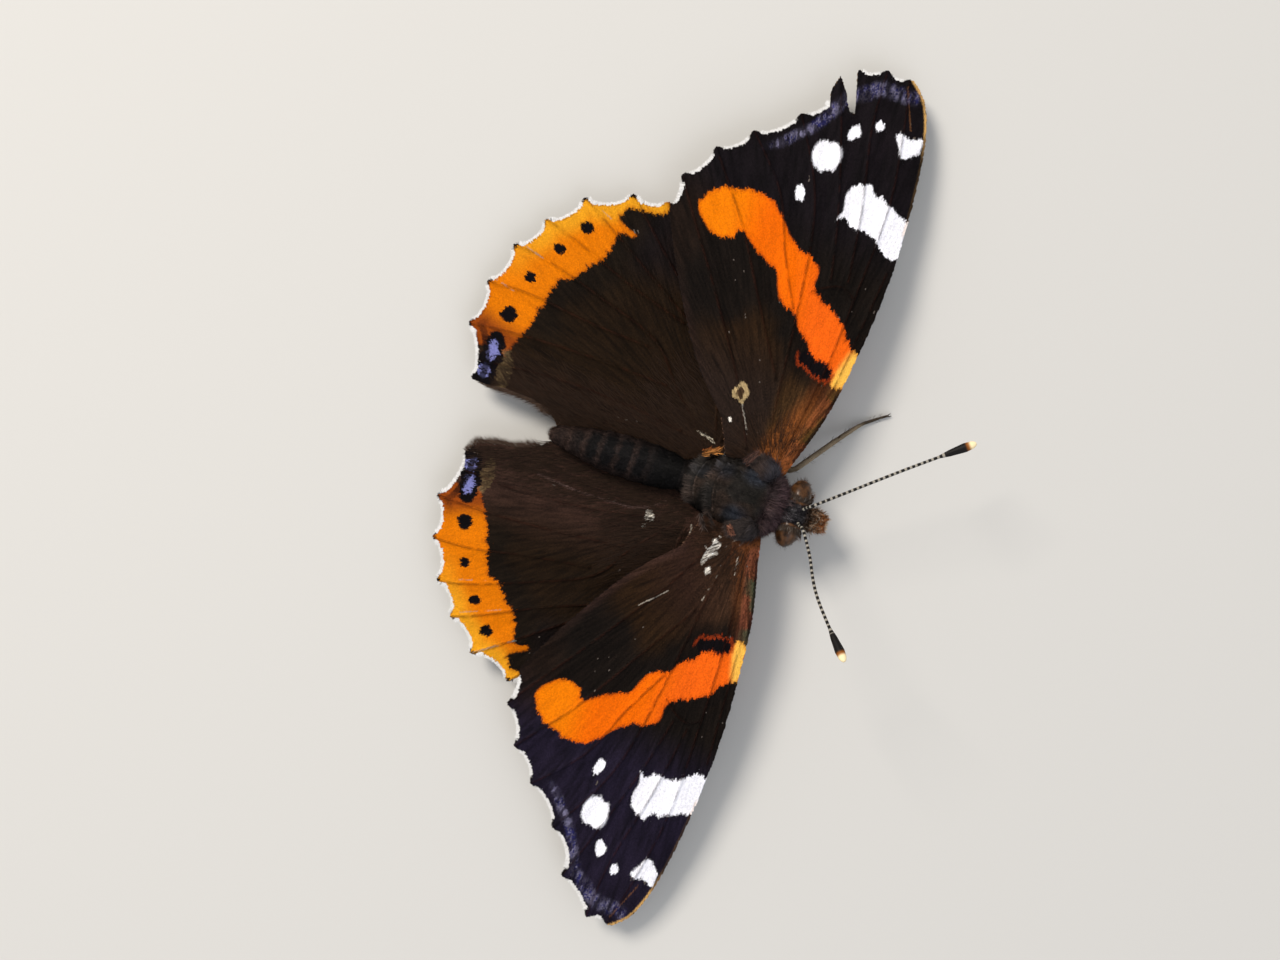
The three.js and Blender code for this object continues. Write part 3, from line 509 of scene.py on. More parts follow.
def in_spot(points, place, radii, turn):
    """A soft-edged oval, 1 inside and 0 outside."""
    angle = math.radians(turn)
    axes = np.array([[math.cos(angle), -math.sin(angle)], [math.sin(angle), math.cos(angle)]])
    distance = np.linalg.norm((points - np.array(place)) @ axes / np.array(radii), axis=1)
    return smooth(1.16, 0.94, distance)


def to_frame(side, places):
    """Places in millimetres as points of the frame in metres."""
    places = np.asarray(places, float)
    turned = np.stack([side * places[:, 0], -places[:, 1], places[:, 2]], axis=1)
    return (turned + ORIGIN) * MM


def middle_line(ahead):
    """How far the body's middle line lies to the animal's left."""
    aheads, outs = zip(*MIDDLE_LINE)
    return np.interp(ahead, aheads, outs)


def body_edge(side, ahead):
    """How far out the body reaches beside a wing root."""
    rows = np.array([*THORAX_EDGE, *zip(ABDOMEN_FOLDS, ABDOMEN_GIRTH)])
    return side * middle_line(ahead) + np.interp(ahead, rows[::-1, 0], rows[::-1, 1])


def margin(tips, bays, inset, step=0.25):
    """The margin through the vein tips, with a bay between each two, drawn in by the inset."""
    points = []
    for start, end, bay in zip(tips[:-1], tips[1:], bays):
        chord = end - start
        inward = np.array([chord[1], -chord[0]]) / np.linalg.norm(chord)
        share = np.linspace(0, 1, max(int(np.linalg.norm(chord) / step), 2), endpoint=False)[:, None]
        points.append(start + chord * share + inward * bay * np.sin(math.pi * share))
    line = np.vstack([*points, tips[-1:]])
    if not inset:
        return line
    tangent = even_out(unit(np.gradient(line, axis=0)), 3)
    # The fringe is short at the vein tips, so the membrane reaches further out there.
    near_tip = np.min([np.linalg.norm(line - tip, axis=1) for tip in tips], axis=0)
    depth = inset * (1 - 0.7 * smooth(0.8, 0.1, near_tip))[:, None]
    return line + depth * np.stack([tangent[:, 1], -tangent[:, 0]], axis=1)


class Wing:
    """One wing: its outline and veins in plan, its heights, and the way back to the drawing."""

    def __init__(self, name, side, sizes):
        self.name, self.side = name, side
        self.fore = name == "forewing"
        self.node = f"{name}_{'left' if side == LEFT else 'right'}"
        self.hinge = np.array(FORE_HINGE if self.fore else HIND_HINGE)
        if side == LEFT:
            fit = AS_DRAWN
        else:
            fit = FORE_FIT_RIGHT if self.fore else HIND_FIT_RIGHT
        self.fit = np.array(fit, float)
        self.rise = FORE_RISE if self.fore else HIND_RISE
        self.vein_height = sizes.vein_height / MM
        self.half_membrane = sizes.membrane / MM / 2
        self.fringe = sizes.fringe_length / MM
        self.veins = [spline(self.draw(v), 0.5) for v in (FORE_VEINS if self.fore else HIND_VEINS)]
        self.tips = self.draw(FORE_TIPS if self.fore else HIND_TIPS)
        self.rim = self.outline(self.fringe)

    def draw(self, places):
        """Places of the left wing's drawing as they lie on this wing."""
        return self.hinge + (np.asarray(places, float) - self.hinge) @ self.fit.T

    def undraw(self, points):
        """Points of this wing as places of the left wing's drawing."""
        return self.hinge + (points - self.hinge) @ np.linalg.inv(self.fit).T

    def outer_margin(self, inset):
        """The outer margin, with the tear of the left forewing."""
        line = margin(self.tips, FORE_BAYS if self.fore else HIND_BAYS, inset)
        if not (self.fore and self.side == LEFT):
            return line
        start = np.argmin(np.linalg.norm(line - self.tips[1], axis=1))
        end = np.argmin(np.linalg.norm(line - self.tips[2], axis=1))
        lip, *torn, point = self.draw(FORE_TEAR)
        upper = margin(np.array([self.tips[1], lip]), (0.05,), inset)
        tear = even_steps(np.array([upper[-1], *torn, point]), 0.25)
        tear = tear + 0.07 * (grain(tear * 3, 0.9, 5) - 0.5)[:, None]
        # The margin goes on a few of its points past the vein tip.
        onward = end + 7
        return np.vstack([line[: start + 1], upper[1:-1], tear, line[onward:]])

    def outline(self, inset):
        """The closed outline of the membrane, without its fringe."""
        sink = 0.5
        front = spline(self.draw(FORE_FRONT if self.fore else HIND_FRONT), 0.4)
        first, last = FORE_ROOT if self.fore else HIND_ROOT
        root_aheads = np.linspace(last, first, 8)
        root = np.stack([body_edge(self.side, root_aheads) - sink, root_aheads], axis=1)
        outer = self.outer_margin(inset)
        if self.fore:
            rear = spline(self.draw(FORE_REAR), 0.4)
            return np.vstack([root, front[:-1], outer, rear[1:]])
        aheads = np.linspace(ABDOMEN_END + 0.5, ABDOMEN_START - 0.3, 24)
        beside = np.stack([body_edge(self.side, aheads) - sink, aheads], axis=1)
        inner = even_steps(np.vstack([outer[-1:], HIND_INNER[self.side], beside]), 0.4)
        return np.vstack([front[:-1], outer, inner[1:], root])

    def from_veins(self, points):
        """Distance of each point from the nearest vein."""
        return np.min([distance_from(points, vein) for vein in self.veins], axis=0)

    def heights(self, points, facing):
        """Height of one face of the membrane: facing is 1 for the top and -1 for the underside."""
        reach = np.linalg.norm(points - self.hinge, axis=1) / self.rise["reach"]
        middle = self.rise["hinge"] - self.rise["fall"] * reach ** self.rise["bend"]
        nearest = self.from_veins(points)
        ridge = self.vein_height * np.exp(-((nearest / VEIN_SPREAD) ** 2))
        sag = SAG_DEPTH * np.exp(-((nearest / SAG_SPREAD) ** 2))
        wave = WAVE_DEPTH * (grain(points, WAVE_LENGTH, 31) - 0.5)
        return middle + sag + wave + facing * (ridge + self.half_membrane)

    def surface(self, points, facing):
        """Places and outward normals on one face."""
        step = 0.06
        here = self.heights(points, facing)
        slope_out = (self.heights(points + (step, 0), facing) - here) / step
        slope_ahead = (self.heights(points + (0, step), facing) - here) / step
        normals = unit(np.stack([-slope_out, -slope_ahead, np.ones(len(points))], axis=1))
        return np.column_stack([points, here]), normals * facing

    def unwrap(self, points):
        """The wing laid flat in the bake square."""
        low, high = self.rim.min(axis=0) - 1, self.rim.max(axis=0) + 1
        return BAKE_EDGE + BAKE_SPAN * (points - low) / np.max(high - low)


def along_scales(wing, p, lanes, stretch, seed):
    """Noise in fine lanes that run outward from the hinge, as the rows of scales do."""
    offset = p - wing.hinge
    angle = np.arctan2(offset[:, 1], offset[:, 0])
    return grain(np.stack([angle * lanes, np.linalg.norm(offset, axis=1) / stretch], axis=1), 1.0, seed)


def drift(wing, points, ragged, rng, seeds):
    """Points of a wing on its drawing, moved a little along the scales, which feathers the markings."""
    p = wing.undraw(points)
    outward = unit(p - wing.hinge)
    fine, coarse = along_scales(wing, p, 95, 1.1, seeds[0]), along_scales(wing, p, 38, 1.8, seeds[1])
    shift = 0.52 * (0.6 * fine + 0.4 * coarse - 0.5) + ragged * (rng.random(len(p)) - 0.5)
    return p + outward * shift[:, None]


def forewing_ground(wing, p, still, front, band, tones):
    """The ground of a forewing's upper side: brown base, black outer half and rusty front edge."""
    x, y = p.T
    reach = np.linalg.norm(p - np.array(FORE_HINGE), axis=1)
    rear = distance_from(still, spline(FORE_REAR, 0.8))
    right = wing.side == RIGHT
    colours = plain(tones.wing_brown, len(p))
    colours = lay(colours, smooth(2.0, 9.5, reach - 0.9 * y + 6) * 0.85, tones.wing_dark)
    if right:
        colours = lay(colours, smooth(11, 4, reach) * 0.55, "#2b1a17")
    near_black = smooth(10.8, 14.4, reach + 2.4 * grain(p, 2.2, 6))
    near_black = np.maximum(near_black, smooth(-2.6, -0.7, band + grain(p, 1.4, 16) - 0.5))
    colours = lay(colours, near_black * 0.92, "#0e0a08")
    # On the right wing the black towards the tip is tinted violet-blue: painted sheen where the light catches
    # its scales.
    colours = lay(colours, smooth(18, 23, x) * 0.85, "#191423" if right else tones.wing_black)
    tornus = smooth(4.0, 1.0, np.linalg.norm((p - (18.5, -5.6)) / (1.4, 0.7), axis=1))
    colours = lay(colours, tornus * 0.6, "#1d120c")
    streaks = along_scales(wing, p, 55, 3.0, 12)
    edge_fuzz = smooth(0.75, 0.1, rear) * smooth(17, 11, x) * (0.4 + 0.6 * streaks)
    colours = lay(colours, edge_fuzz * (0.6 if right else 0.3), "#3f2b25")
    if not right:
        rear_base = smooth(6.0, 5.2, y + 0.5 * (grain(p, 0.7, 7) - 0.5)) * smooth(13, 7, x)
        colours = lay(colours, rear_base * 0.9, "#201713")
    widening, strength = (0, 0.5) if right else (0.7, 1.0)
    golden = smooth(3.2, 1.8, front + 0.12 * x - widening) * smooth(12, 6, x) * strength
    colours = lay(colours, golden * (0.35 + 0.3 * streaks), RUST)
    costal = smooth(1.25, 0.8, front) * smooth(11.5, 9.0, x)
    colours = lay(colours, costal * (0.25 + 0.3 * streaks), "#7a4434" if right else "#80482a")
    colours = lay(colours, costal * smooth(0.4, 0.15, streaks) * 0.6, "#2a180c")
    green = smooth(3.0, 5.5, x) * smooth(0.45, 0.7, grain(p, 1.2, 8)) * smooth(1.3, 0.3, front)
    colours = lay(colours, costal * green * 0.8, "#36402e" if right else OLIVE)
    return lay(colours, smooth(0.28, 0.16, front) * smooth(10.2, 9.4, x) * 0.8, SOOT)


def forewing_band(p, front, band, tones):
    """Hues of the forewing's band: red, orange and gold from front to rear, cream at the front edge."""
    x, y = p.T
    hue = plain(tones.band_red, len(p))
    hue = lay(hue, smooth(6.5, 3.5, y), tones.band_orange)
    hue = lay(hue, smooth(0.5, -2.5, y), tones.band_gold)
    hue = lay(hue, smooth(1.3, 0.5, front + 0.2 * (x - 11.5)) * 0.95, tones.cream)
    return lay(hue, smooth(0.35, 0.0, band) * 0.4, "#a83c04")


def paint_forewing(wing, p, still, tones, rng):
    """Colours of a forewing's upper side at places of the drawing; its edges follow still places."""
    x, y = p.T
    front = distance_from(still, spline(FORE_FRONT, 0.8))
    band = depth_inside(p, BAND)
    colours = forewing_ground(wing, p, still, front, band, tones)
    colours = lay(colours, smooth(-0.09, 0.09, band), forewing_band(p, front, band, tones))
    cell = depth_inside(p, CELL_SPOT)
    colours = lay(colours, smooth(-0.36, -0.14, cell) * smooth(12.0, 11.4, x) * 0.75, RED_RIM)
    colours = lay(colours, smooth(-0.08, 0.05, cell), SOOT)
    white = np.maximum(depth_inside(p, COSTAL_BAR), depth_inside(p, APEX_PATCH))
    white = smooth(-0.09, 0.07, white)
    for place, radii, turn in FORE_SPOTS:
        white = np.maximum(white, in_spot(p, place, radii, turn))
    colours = lay(colours, white, tones.white)
    uneven = 0.4 + 0.6 * smooth(0.3, 0.6, grain(still, 1.6, 19))
    front_edge = smooth(0.22, 0.1, front) * smooth(22.6, 23.6, x) * uneven
    pale = np.maximum(white, smooth(29, 31, x))
    colours = lay(colours, front_edge * (0.12 + 0.6 * pale), "#d6a763")
    streak = smooth(0.08, 0.03, distance_from(still, APEX_STREAK))
    colours = lay(colours, streak * (1 - white) * 0.3, "#8a5a34")
    glow_width = np.interp(y, (1.5, 5.0), (0.58, 0.85))
    from_line = distance_from(still, VIOLET_LINE)
    margin_glow = smooth(1.0, 0.25, from_line / glow_width) * smooth(-2.2, 0.2, y)
    fine = along_scales(wing, p, 130, 0.5, 10)
    cover = margin_glow * (0.15 + 0.85 * smooth(0.3, 0.75, fine)) * (0.5 + 0.5 * rng.random(len(p)))
    bluish = smooth(0.5, 0.7, 0.5 * grain(p, 0.7, 17) + 0.5 * rng.random(len(p)))
    return lay(colours, cover, lay(plain(tones.violet, len(p)), bluish, DEEP_BLUE))


def paint_hindwing(wing, p, still, tones, rng):
    """Colours of a hindwing's upper side at places of the drawing."""
    x, y = p.T
    reach = np.linalg.norm(p - np.array(HIND_HINGE), axis=1)
    from_outer = distance_from(still, margin(np.array(HIND_TIPS), HIND_BAYS, 0.46, 0.5))
    band = depth_inside(p, HIND_BAND)
    colours = plain("#1a1007", len(p))
    colours = lay(colours, smooth(5.5, 3, reach) * 0.8, "#281c11")
    colours = lay(colours, smooth(5.5, 3.0, x) * 0.7, "#251811")
    if wing.side == RIGHT:
        colours = lay(colours, smooth(9, 3, x) * 0.55, "#3b2822")
        # Painted sheen along the crease: a lighter reddish band beside it and a pale line where the fold
        # catches the light.
        fold = distance_from(still, wing.undraw(spline(HIND_FOLD_RIGHT, 0.4)))
        colours = lay(colours, smooth(0.55, 0.05, fold) * 0.45, "#3d2620")
        colours = lay(colours, smooth(0.16, 0.04, fold) * (0.3 + 0.5 * grain(still, 0.5, 20)), "#6a5450")
    near_band = smooth(-2.9, -0.9, band + 1.6 * (grain(p, 1.3, 15) - 0.5)) * smooth(5.5, 8.0, x)
    colours = lay(colours, near_band * 0.85, "#120c07")
    colours = lay(colours, smooth(12.5, 15.5, x) * smooth(-9.5, -7.0, y) * 0.6, tones.wing_black)
    hue = plain(tones.hind_orange, len(p))
    hue = lay(hue, smooth(2.0, 0.4, from_outer) * smooth(9, 15, x) * 0.85, tones.hind_gold)
    hue = lay(hue, smooth(0.4, 0.0, band) * 0.45, "#9a4204")
    hue = lay(hue, smooth(7.4, 5.6, x + 0.25 * (y + 15.5)) * 0.9, "#7a340c")
    colours = lay(colours, smooth(-0.1, 0.1, band), hue)
    for place, radii, turn in HIND_DOTS:
        colours = lay(colours, in_spot(p, place, radii, turn), SOOT)
    olive = in_spot(p, (3.3, -14.9), (1.5, 0.6), -12) * 0.8
    colours = lay(colours, olive * (0.4 + 0.6 * rng.random(len(p))), "#5a4a32")
    colours = lay(colours, smooth(-0.05, 0.08, depth_inside(p, TORNUS_BLACK)), SOOT)
    blue = np.max([in_spot(p, *spot) for spot in TORNUS_BLUES], axis=0)
    broken = smooth(0.25, 0.45, 0.6 * grain(p, 0.28, 18) + 0.4 * rng.random(len(p)))
    colours = lay(colours, blue * broken, tones.blue)
    line = smooth(0.32, 0.2, np.abs(from_outer - 0.62)) * smooth(7.5, 4.5, x) * smooth(-14, -16, y)
    colours = lay(colours, line * 0.85, SOOT)
    colours = lay(colours, smooth(0.12, 0.05, from_outer) * 0.35, SOOT)
    near_tip = np.min([np.linalg.norm(p - tip, axis=1) for tip in np.array(HIND_TIPS)[1:-1]], axis=0)
    return lay(colours, smooth(0.5, 0.3, near_tip), SOOT)


def paint_upper(wing, points, tones, ragged=0.0):
    """Colours of the upper side, with each scale a little lighter or darker than the next."""
    rng = np.random.default_rng(1000 + wing.side + (10 if wing.fore else 0))
    p = drift(wing, points, ragged, rng, (73, 74))
    still = wing.undraw(points)
    colours = (paint_forewing if wing.fore else paint_hindwing)(wing, p, still, tones, rng)
    bright = smooth(0.1, 0.3, colours.max(axis=1))
    vein = smooth(0.1, 0.03, wing.from_veins(points)) * smooth(0.15, 0.4, grain(points, 0.5, 43))
    colours = lay(colours, vein * (0.3 + 0.08 * bright), "#2a0f06")
    for place, radii, turn, code in WORN[wing.name, wing.side]:
        warp = np.stack([grain(points, 0.35, 48), grain(points, 0.35, 49)], axis=1) - 0.5
        worn = in_spot(points + min(0.5, 1.4 * min(radii)) * warp, place, radii, turn)
        colours = lay(colours, worn * smooth(0.12, 0.26, grain(points, 0.3, 41)), code)
    for line in BARE_VEINS[wing.name, wing.side]:
        near = smooth(0.07, 0.03, distance_from(points, line))
        shown = near * smooth(0.3, 0.5, grain(points, 0.4, 42)) * (0.85 - 0.4 * bright)
        colours = lay(colours, shown, BARE_VEIN)
    if ragged:
        streak = 0.65 * along_scales(wing, p, 110, 1.3, 44) + 0.35 * along_scales(wing, p, 40, 3.0, 46)
        spread = 1.3 * (1 - bright) + 0.22 * bright
        colours = colours * (1 + spread * (streak - 0.5))[:, None]
        colours = colours * (1 + (0.34 - 0.16 * bright) * (rng.random(len(p)) - 0.5))[:, None]
        fleck = along_scales(wing, p, 120, 0.9, 45)
        loose = (fleck > 0.962) & (bright < 0.5) & (grain(p, 2.4, 47) > 0.62) & (rng.random(len(p)) < 0.7)
        colours[loose] = linear("#564e48")
    return np.clip(colours, 0, 1)


def paint_under(wing, points, tones, ragged=0.0):
    """Colours of the underside: bark-like browns on the hindwing, the band again on the forewing."""
    rng = np.random.default_rng(3000 + wing.side + (10 if wing.fore else 0))
    p = drift(wing, points, ragged, rng, (75, 76))
    x, y = p.T
    mottle = grain(p, 0.9, 21) * 0.45 + grain(p, 0.35, 22) * 0.3 + grain(p, 2.4, 23) * 0.25
    bark = plain("#3c2e22", len(p))
    bark = lay(bark, smooth(0.5, 0.68, mottle), "#84705a")
    bark = lay(bark, smooth(0.46, 0.32, mottle), "#15100d")
    vein = smooth(0.22, 0.08, wing.from_veins(points))
    if wing.fore:
        reach = np.linalg.norm(p - np.array(FORE_HINGE), axis=1)
        colours = plain("#1a1413", len(p))
        colours = lay(colours, smooth(8, 4, reach), "#5c4334")
        cell = distance_from(p, [(6, 6.6), (11, 7.0)])
        colours = lay(colours, smooth(1.3, 0.5, cell) * 0.8, "#a33a26")
        blue = smooth(0.5, 0.2, distance_from(p, [(14.9, 6.9), (15.3, 8.6)]))
        band = smooth(-0.05, 0.08, depth_inside(p, BAND))
        colours = lay(colours, band, "#e4582e")
        colours = lay(colours, blue * 0.9, tones.blue)
        white = smooth(-0.03, 0.05, depth_inside(p, COSTAL_BAR))
        colours = lay(colours, white, tones.white)
        tip = smooth(26.0, 28.5, x + 0.35 * (y - 3))
        colours = lay(colours, tip, bark)
        for place, radii, turn in FORE_SPOTS[2:]:
            colours = lay(colours, in_spot(p, place, radii, turn), tones.white)
    else:
        colours = bark
        outer = distance_from(p, margin(np.array(HIND_TIPS), HIND_BAYS, 0.46, 0.5))
        colours = lay(colours, smooth(0.9, 0.4, np.abs(outer - 1.6)) * 0.55, "#6b5a4c")
        for place, radii, turn in HIND_DOTS:
            inward = np.array(place) + (np.array((8.0, -5.0)) - np.array(place)) * 0.12
            colours = lay(colours, in_spot(p, inward, (0.95, 0.85), turn), "#241c1c")
            colours = lay(colours, in_spot(p, inward, (0.42, 0.38), turn), "#566270")
        pale = in_spot(p, (11.2, 2.0), (1.5, 0.8), -35)
        colours = lay(colours, pale * 0.85, "#c9ab9c")
    colours = lay(colours, vein * 0.5, "#8d7a66" if not wing.fore else "#2c2220")
    if ragged:
        colours = colours * (1 + 0.3 * (rng.random(len(p)) - 0.5))[:, None]
    return np.clip(colours, 0, 1)


def body_section(ahead):
    """The body's half width, top, bottom and squareness at each place along it."""
    rows = spline(BODY, 0.05)[::-1]
    return [np.interp(ahead, rows[:, 0], rows[:, i]) for i in (1, 2, 3, 4)]


def body_form(ahead, angle, inset):
    """Points on the body, drawn in by the inset, with its grooves and segments; its top is at pi / 2."""
    half, top, bottom, square = body_section(ahead)
    inset = np.minimum(inset, half * 0.5)
    half, top, bottom = half - inset, top - inset, bottom + inset
    c, s = np.cos(angle), np.sin(angle)
    radius = (np.abs(c) ** square + np.abs(s) ** square) ** (-1 / square)
    radius = radius * segment_swell(ahead) * thorax_relief(ahead, angle)
    out = middle_line(ahead) + half * radius * c
    up = (top + bottom) / 2 + (top - bottom) / 2 * radius * s
    return np.stack([out, ahead, up], axis=1)


def segment_swell(ahead):
    """Each segment of the abdomen widens to its rear edge and overlaps the next."""
    share = np.clip((ABDOMEN_START - ahead) / (ABDOMEN_START - ABDOMEN_END), 0, 0.999) * ABDOMEN_SEGMENTS
    within = share - np.floor(share)
    step = 0.93 + 0.09 * within**0.7 - 0.06 * smooth(0.9, 1.0, within)
    return np.where(ahead < ABDOMEN_START, step, 1.0)


def thorax_relief(ahead, angle):
    """The groove down the back, and the curved seams before and behind the small rear shield."""
    upper = np.clip(np.sin(angle), 0, 1)
    across = np.cos(angle)
    on_thorax = smooth(1.0, 1.6, ahead) * smooth(8.2, 7.6, ahead)
    middle = 0.035 * np.exp(-((across / 0.06) ** 2)) * smooth(3.4, 4.2, ahead)
    front_seam = 0.075 * np.exp(-(((ahead - 3.2 - 0.9 * across**2) / 0.16) ** 2))
    rear_seam = 0.08 * np.exp(-(((ahead - 1.75 - 0.6 * across**2) / 0.14) ** 2))
    side_seam = 0.05 * np.exp(-(((np.abs(across) - 0.62) / 0.07) ** 2)) * smooth(3.2, 4.4, ahead)
    return 1 - on_thorax * upper**0.5 * (middle + front_seam + rear_seam + side_seam)


def coat_depth(ahead):
    """How deep the fur is: the skin lies this far inside the solids."""
    aheads = (-9.8, -8, 0.4, 1.5, 7.6, 8.4, 8.7, 10.9)
    return np.interp(ahead, aheads, (0.1, 0.2, 0.22, 0.42, 0.45, 0.25, 0.2, 0.2))


def body_surface(ahead, angle):
    """Places and outward normals on the skin."""
    step = 0.02
    inset = coat_depth(ahead)
    here = body_form(ahead, angle, inset)
    along = body_form(ahead + step, angle, inset) - here
    around = body_form(ahead, angle + step, inset) - here
    return here, unit(np.cross(around, along))


def body_unwrap(ahead, angle):
    """The skin rolled out flat: round the body across the square, and along it upwards."""
    tail, reach = -9.8, 20.8
    turned = (angle / (2 * math.pi) + 0.25) % 1
    return np.stack([BAKE_EDGE + BAKE_SPAN * turned, BAKE_EDGE + BAKE_SPAN * (ahead - tail) / reach], axis=1)


def paint_body(ahead, angle, tones):
    """Colours of skin and fur on the body."""
    up, across = np.sin(angle), np.cos(angle)
    place = np.stack([ahead, across * 3], axis=1)
    colours = plain(tones.fur, len(ahead))
    colours = lay(colours, smooth(0.4, 0.8, grain(place, 1.0, 51)) * 0.8, "#43352d")
    colours = lay(colours, smooth(0.5, 0.8, grain(place, 1.4, 53)) * 0.6, "#1e1b19")
    for spot_ahead, spot_across, reach, strength in THORAX_SHEEN:
        distance = np.hypot((ahead - spot_ahead) / reach, (across - spot_across) / 0.32)
        colours = lay(colours, smooth(1.2, 0.1, distance) * (up > 0) * strength, "#3c424e")
    crown = smooth(0.4, 0.1, np.abs(across)) * smooth(5.2, 6.2, ahead) * smooth(7.5, 6.9, ahead)
    colours = lay(colours, crown * (up > 0) * 0.6, "#1e1c18")
    colours = lay(colours, smooth(0.35, 0.05, up) * 0.6, "#3a2b22")
    collar = smooth(6.8, 7.7, ahead) * smooth(9.1, 8.8, ahead)
    colours = lay(colours, collar * 0.8, "#433336")
    colours = lay(colours, smooth(2.6, 1.0, ahead) * 0.6, "#1d1b1b")
    abdomen = smooth(1.1, 0.4, ahead)
    colours = lay(colours, abdomen, "#2b211e")
    colours = lay(colours, smooth(-5.5, -8.8, ahead) * 0.8, "#3d2e28")
    # Each segment is black across its middle and brown at its rear edge, less so towards the tip.
    share = (ABDOMEN_START - ahead) / (ABDOMEN_START - ABDOMEN_END) * ABDOMEN_SEGMENTS
    from_middle = np.abs(share - np.floor(share) - 0.45) + 0.25 * (grain(place, 0.6, 54) - 0.5)
    fade = np.interp(ahead, (-8.6, -6.4), (0.35, 0.9))
    black = smooth(0.46, 0.2, from_middle) * smooth(1.0, 0.6, np.abs(across)) * fade
    black = np.maximum(black, 0.95 * smooth(-3.4, -0.8, ahead))
    colours = lay(colours, black * abdomen, "#101011")
    colours = lay(colours, abdomen * smooth(-2.2, -0.4, ahead) * 0.8, "#0d0b0a")
    head = smooth(8.7, 8.9, ahead)
    colours = lay(colours, head, "#343134")
    colours = lay(colours, head * smooth(0.5, 0.8, grain(place, 0.3, 52)) * 0.6, "#6c686a")
    colours = lay(colours, head * smooth(0.45, 0.9, np.abs(across)) * 0.5, "#4a3426")
    colours = lay(colours, head * smooth(10.4, 10.9, ahead) * 0.6, "#5e4632")
    return lay(colours, smooth(0.0, -0.7, up) * 0.75, "#84715b")


def add_node(tree, kind, settings=None, links=None):
    """Adds a shader node. Settings are properties or input values, links feed its inputs."""
    node = tree.nodes.new(kind)
    for key, value in (settings or {}).items():
        if isinstance(key, str) and hasattr(node, key):
            setattr(node, key, value)
        else:
            node.inputs[key].default_value = value
    for key, source in (links or {}).items():
        tree.links.new(source, node.inputs[key])
    return node


def new_material(name, values):
    """A material with its shader's own values set; gives the material, its tree and its shader."""
    material = bpy.data.materials.new(name)
    material.use_nodes = True
    tree = material.node_tree
    surface = tree.nodes["Principled BSDF"]
    for key, value in values.items():
        surface.inputs[key].default_value = value
    return material, tree, surface


CHITIN_IOR = 1.56


def wing_scale_material():
    """Ribbed wing scales: pigmented chitin plates. The ribs scatter light, so they look dull and deep."""
    material, tree, surface = new_material(
        "Ribbed wing scales", {"Roughness": 0.7, "IOR": CHITIN_IOR, "Specular IOR Level": 0.04}
    )
    tint = add_node(tree, "ShaderNodeAttribute", {"attribute_name": "Tint"}).outputs["Color"]
    place = add_node(tree, "ShaderNodeTexCoord").outputs["Object"]
    # A scale is about 0.1 mm wide, and its own shade shifts over that width.
    rib = add_node(tree, "ShaderNodeTexNoise", {"Scale": 1 / (0.1 * MM), "Detail": 2.0}, {"Vector": place})
    shade = add_node(
        tree,
        "ShaderNodeMapRange",
        {"From Min": 0.3, "From Max": 0.7, "To Min": 0.86, "To Max": 1.12},
        {"Value": rib.outputs["Fac"]},
    )
    shaded = add_node(
        tree, "ShaderNodeVectorMath", {"operation": "SCALE"}, {0: tint, "Scale": shade.outputs["Result"]}
    )
    tree.links.new(shaded.outputs["Vector"], surface.inputs["Base Color"])
    return material


def hair_material(name, roughness):
    """Bristle hair of chitin: fine solid threads, dull on the whole."""
    material, tree, surface = new_material(
        name, {"Roughness": roughness, "IOR": CHITIN_IOR, "Specular IOR Level": 0.07}
    )
    tint = add_node(tree, "ShaderNodeAttribute", {"attribute_name": "Tint"}).outputs["Color"]
    tree.links.new(tint, surface.inputs["Base Color"])
    return material


def cuticle_material(name, roughness, bump_size, bump_depth, gloss=0.3):
    """Bare or thinly scaled cuticle: hard chitin with a fine pebbled surface and a low gloss."""
    material, tree, surface = new_material(
        name, {"Roughness": roughness, "IOR": CHITIN_IOR, "Specular IOR Level": gloss}
    )
    tint = add_node(tree, "ShaderNodeAttribute", {"attribute_name": "Tint"}).outputs["Color"]
    place = add_node(tree, "ShaderNodeTexCoord").outputs["Object"]
    pebble = add_node(tree, "ShaderNodeTexVoronoi", {"Scale": 1 / (bump_size * MM)}, {"Vector": place})
    height = {"Height": pebble.outputs["Distance"]}
    bump = add_node(tree, "ShaderNodeBump", {"Strength": 0.5, "Distance": bump_depth * MM}, height)
    tree.links.new(tint, surface.inputs["Base Color"])
    tree.links.new(bump.outputs["Normal"], surface.inputs["Normal"])
    return material


def eye_material(tone):
    """Compound eye: clear corneal lenses over brown pigment, so it is glossy with a fine facet pattern."""
    material, tree, surface = new_material(
        "Faceted eye cornea",
        {
            "Roughness": 0.35,
            "IOR": CHITIN_IOR,
            "Specular IOR Level": 0.12,
            "Coat Weight": 0.15,
            "Coat Roughness": 0.12,
        },
    )
    place = add_node(tree, "ShaderNodeTexCoord").outputs["Object"]
    # Real facets are about 0.025 mm wide, drawn here at 0.06 mm so that they show.
    facet = add_node(tree, "ShaderNodeTexVoronoi", {"Scale": 1 / (0.06 * MM)}, {"Vector": place})
    # The brown pigment lies in clouds about 0.5 mm across.
    cloud = add_node(tree, "ShaderNodeTexNoise", {"Scale": 1 / (0.5 * MM)}, {"Vector": place})
    ramp = add_node(tree, "ShaderNodeValToRGB", None, {"Fac": cloud.outputs["Fac"]})
    ramp.color_ramp.elements[0].position = 0.35
    ramp.color_ramp.elements[0].color = (*(np.array(tone) * 0.14), 1)
    ramp.color_ramp.elements[1].position = 0.68
    ramp.color_ramp.elements[1].color = (*tone, 1)
    lens = {"Strength": 0.4, "Distance": 0.01 * MM, "invert": True}
    bump = add_node(tree, "ShaderNodeBump", lens, {"Height": facet.outputs["Distance"]})
    tree.links.new(ramp.outputs["Color"], surface.inputs["Base Color"])
    tree.links.new(bump.outputs["Normal"], surface.inputs["Normal"])
    return material


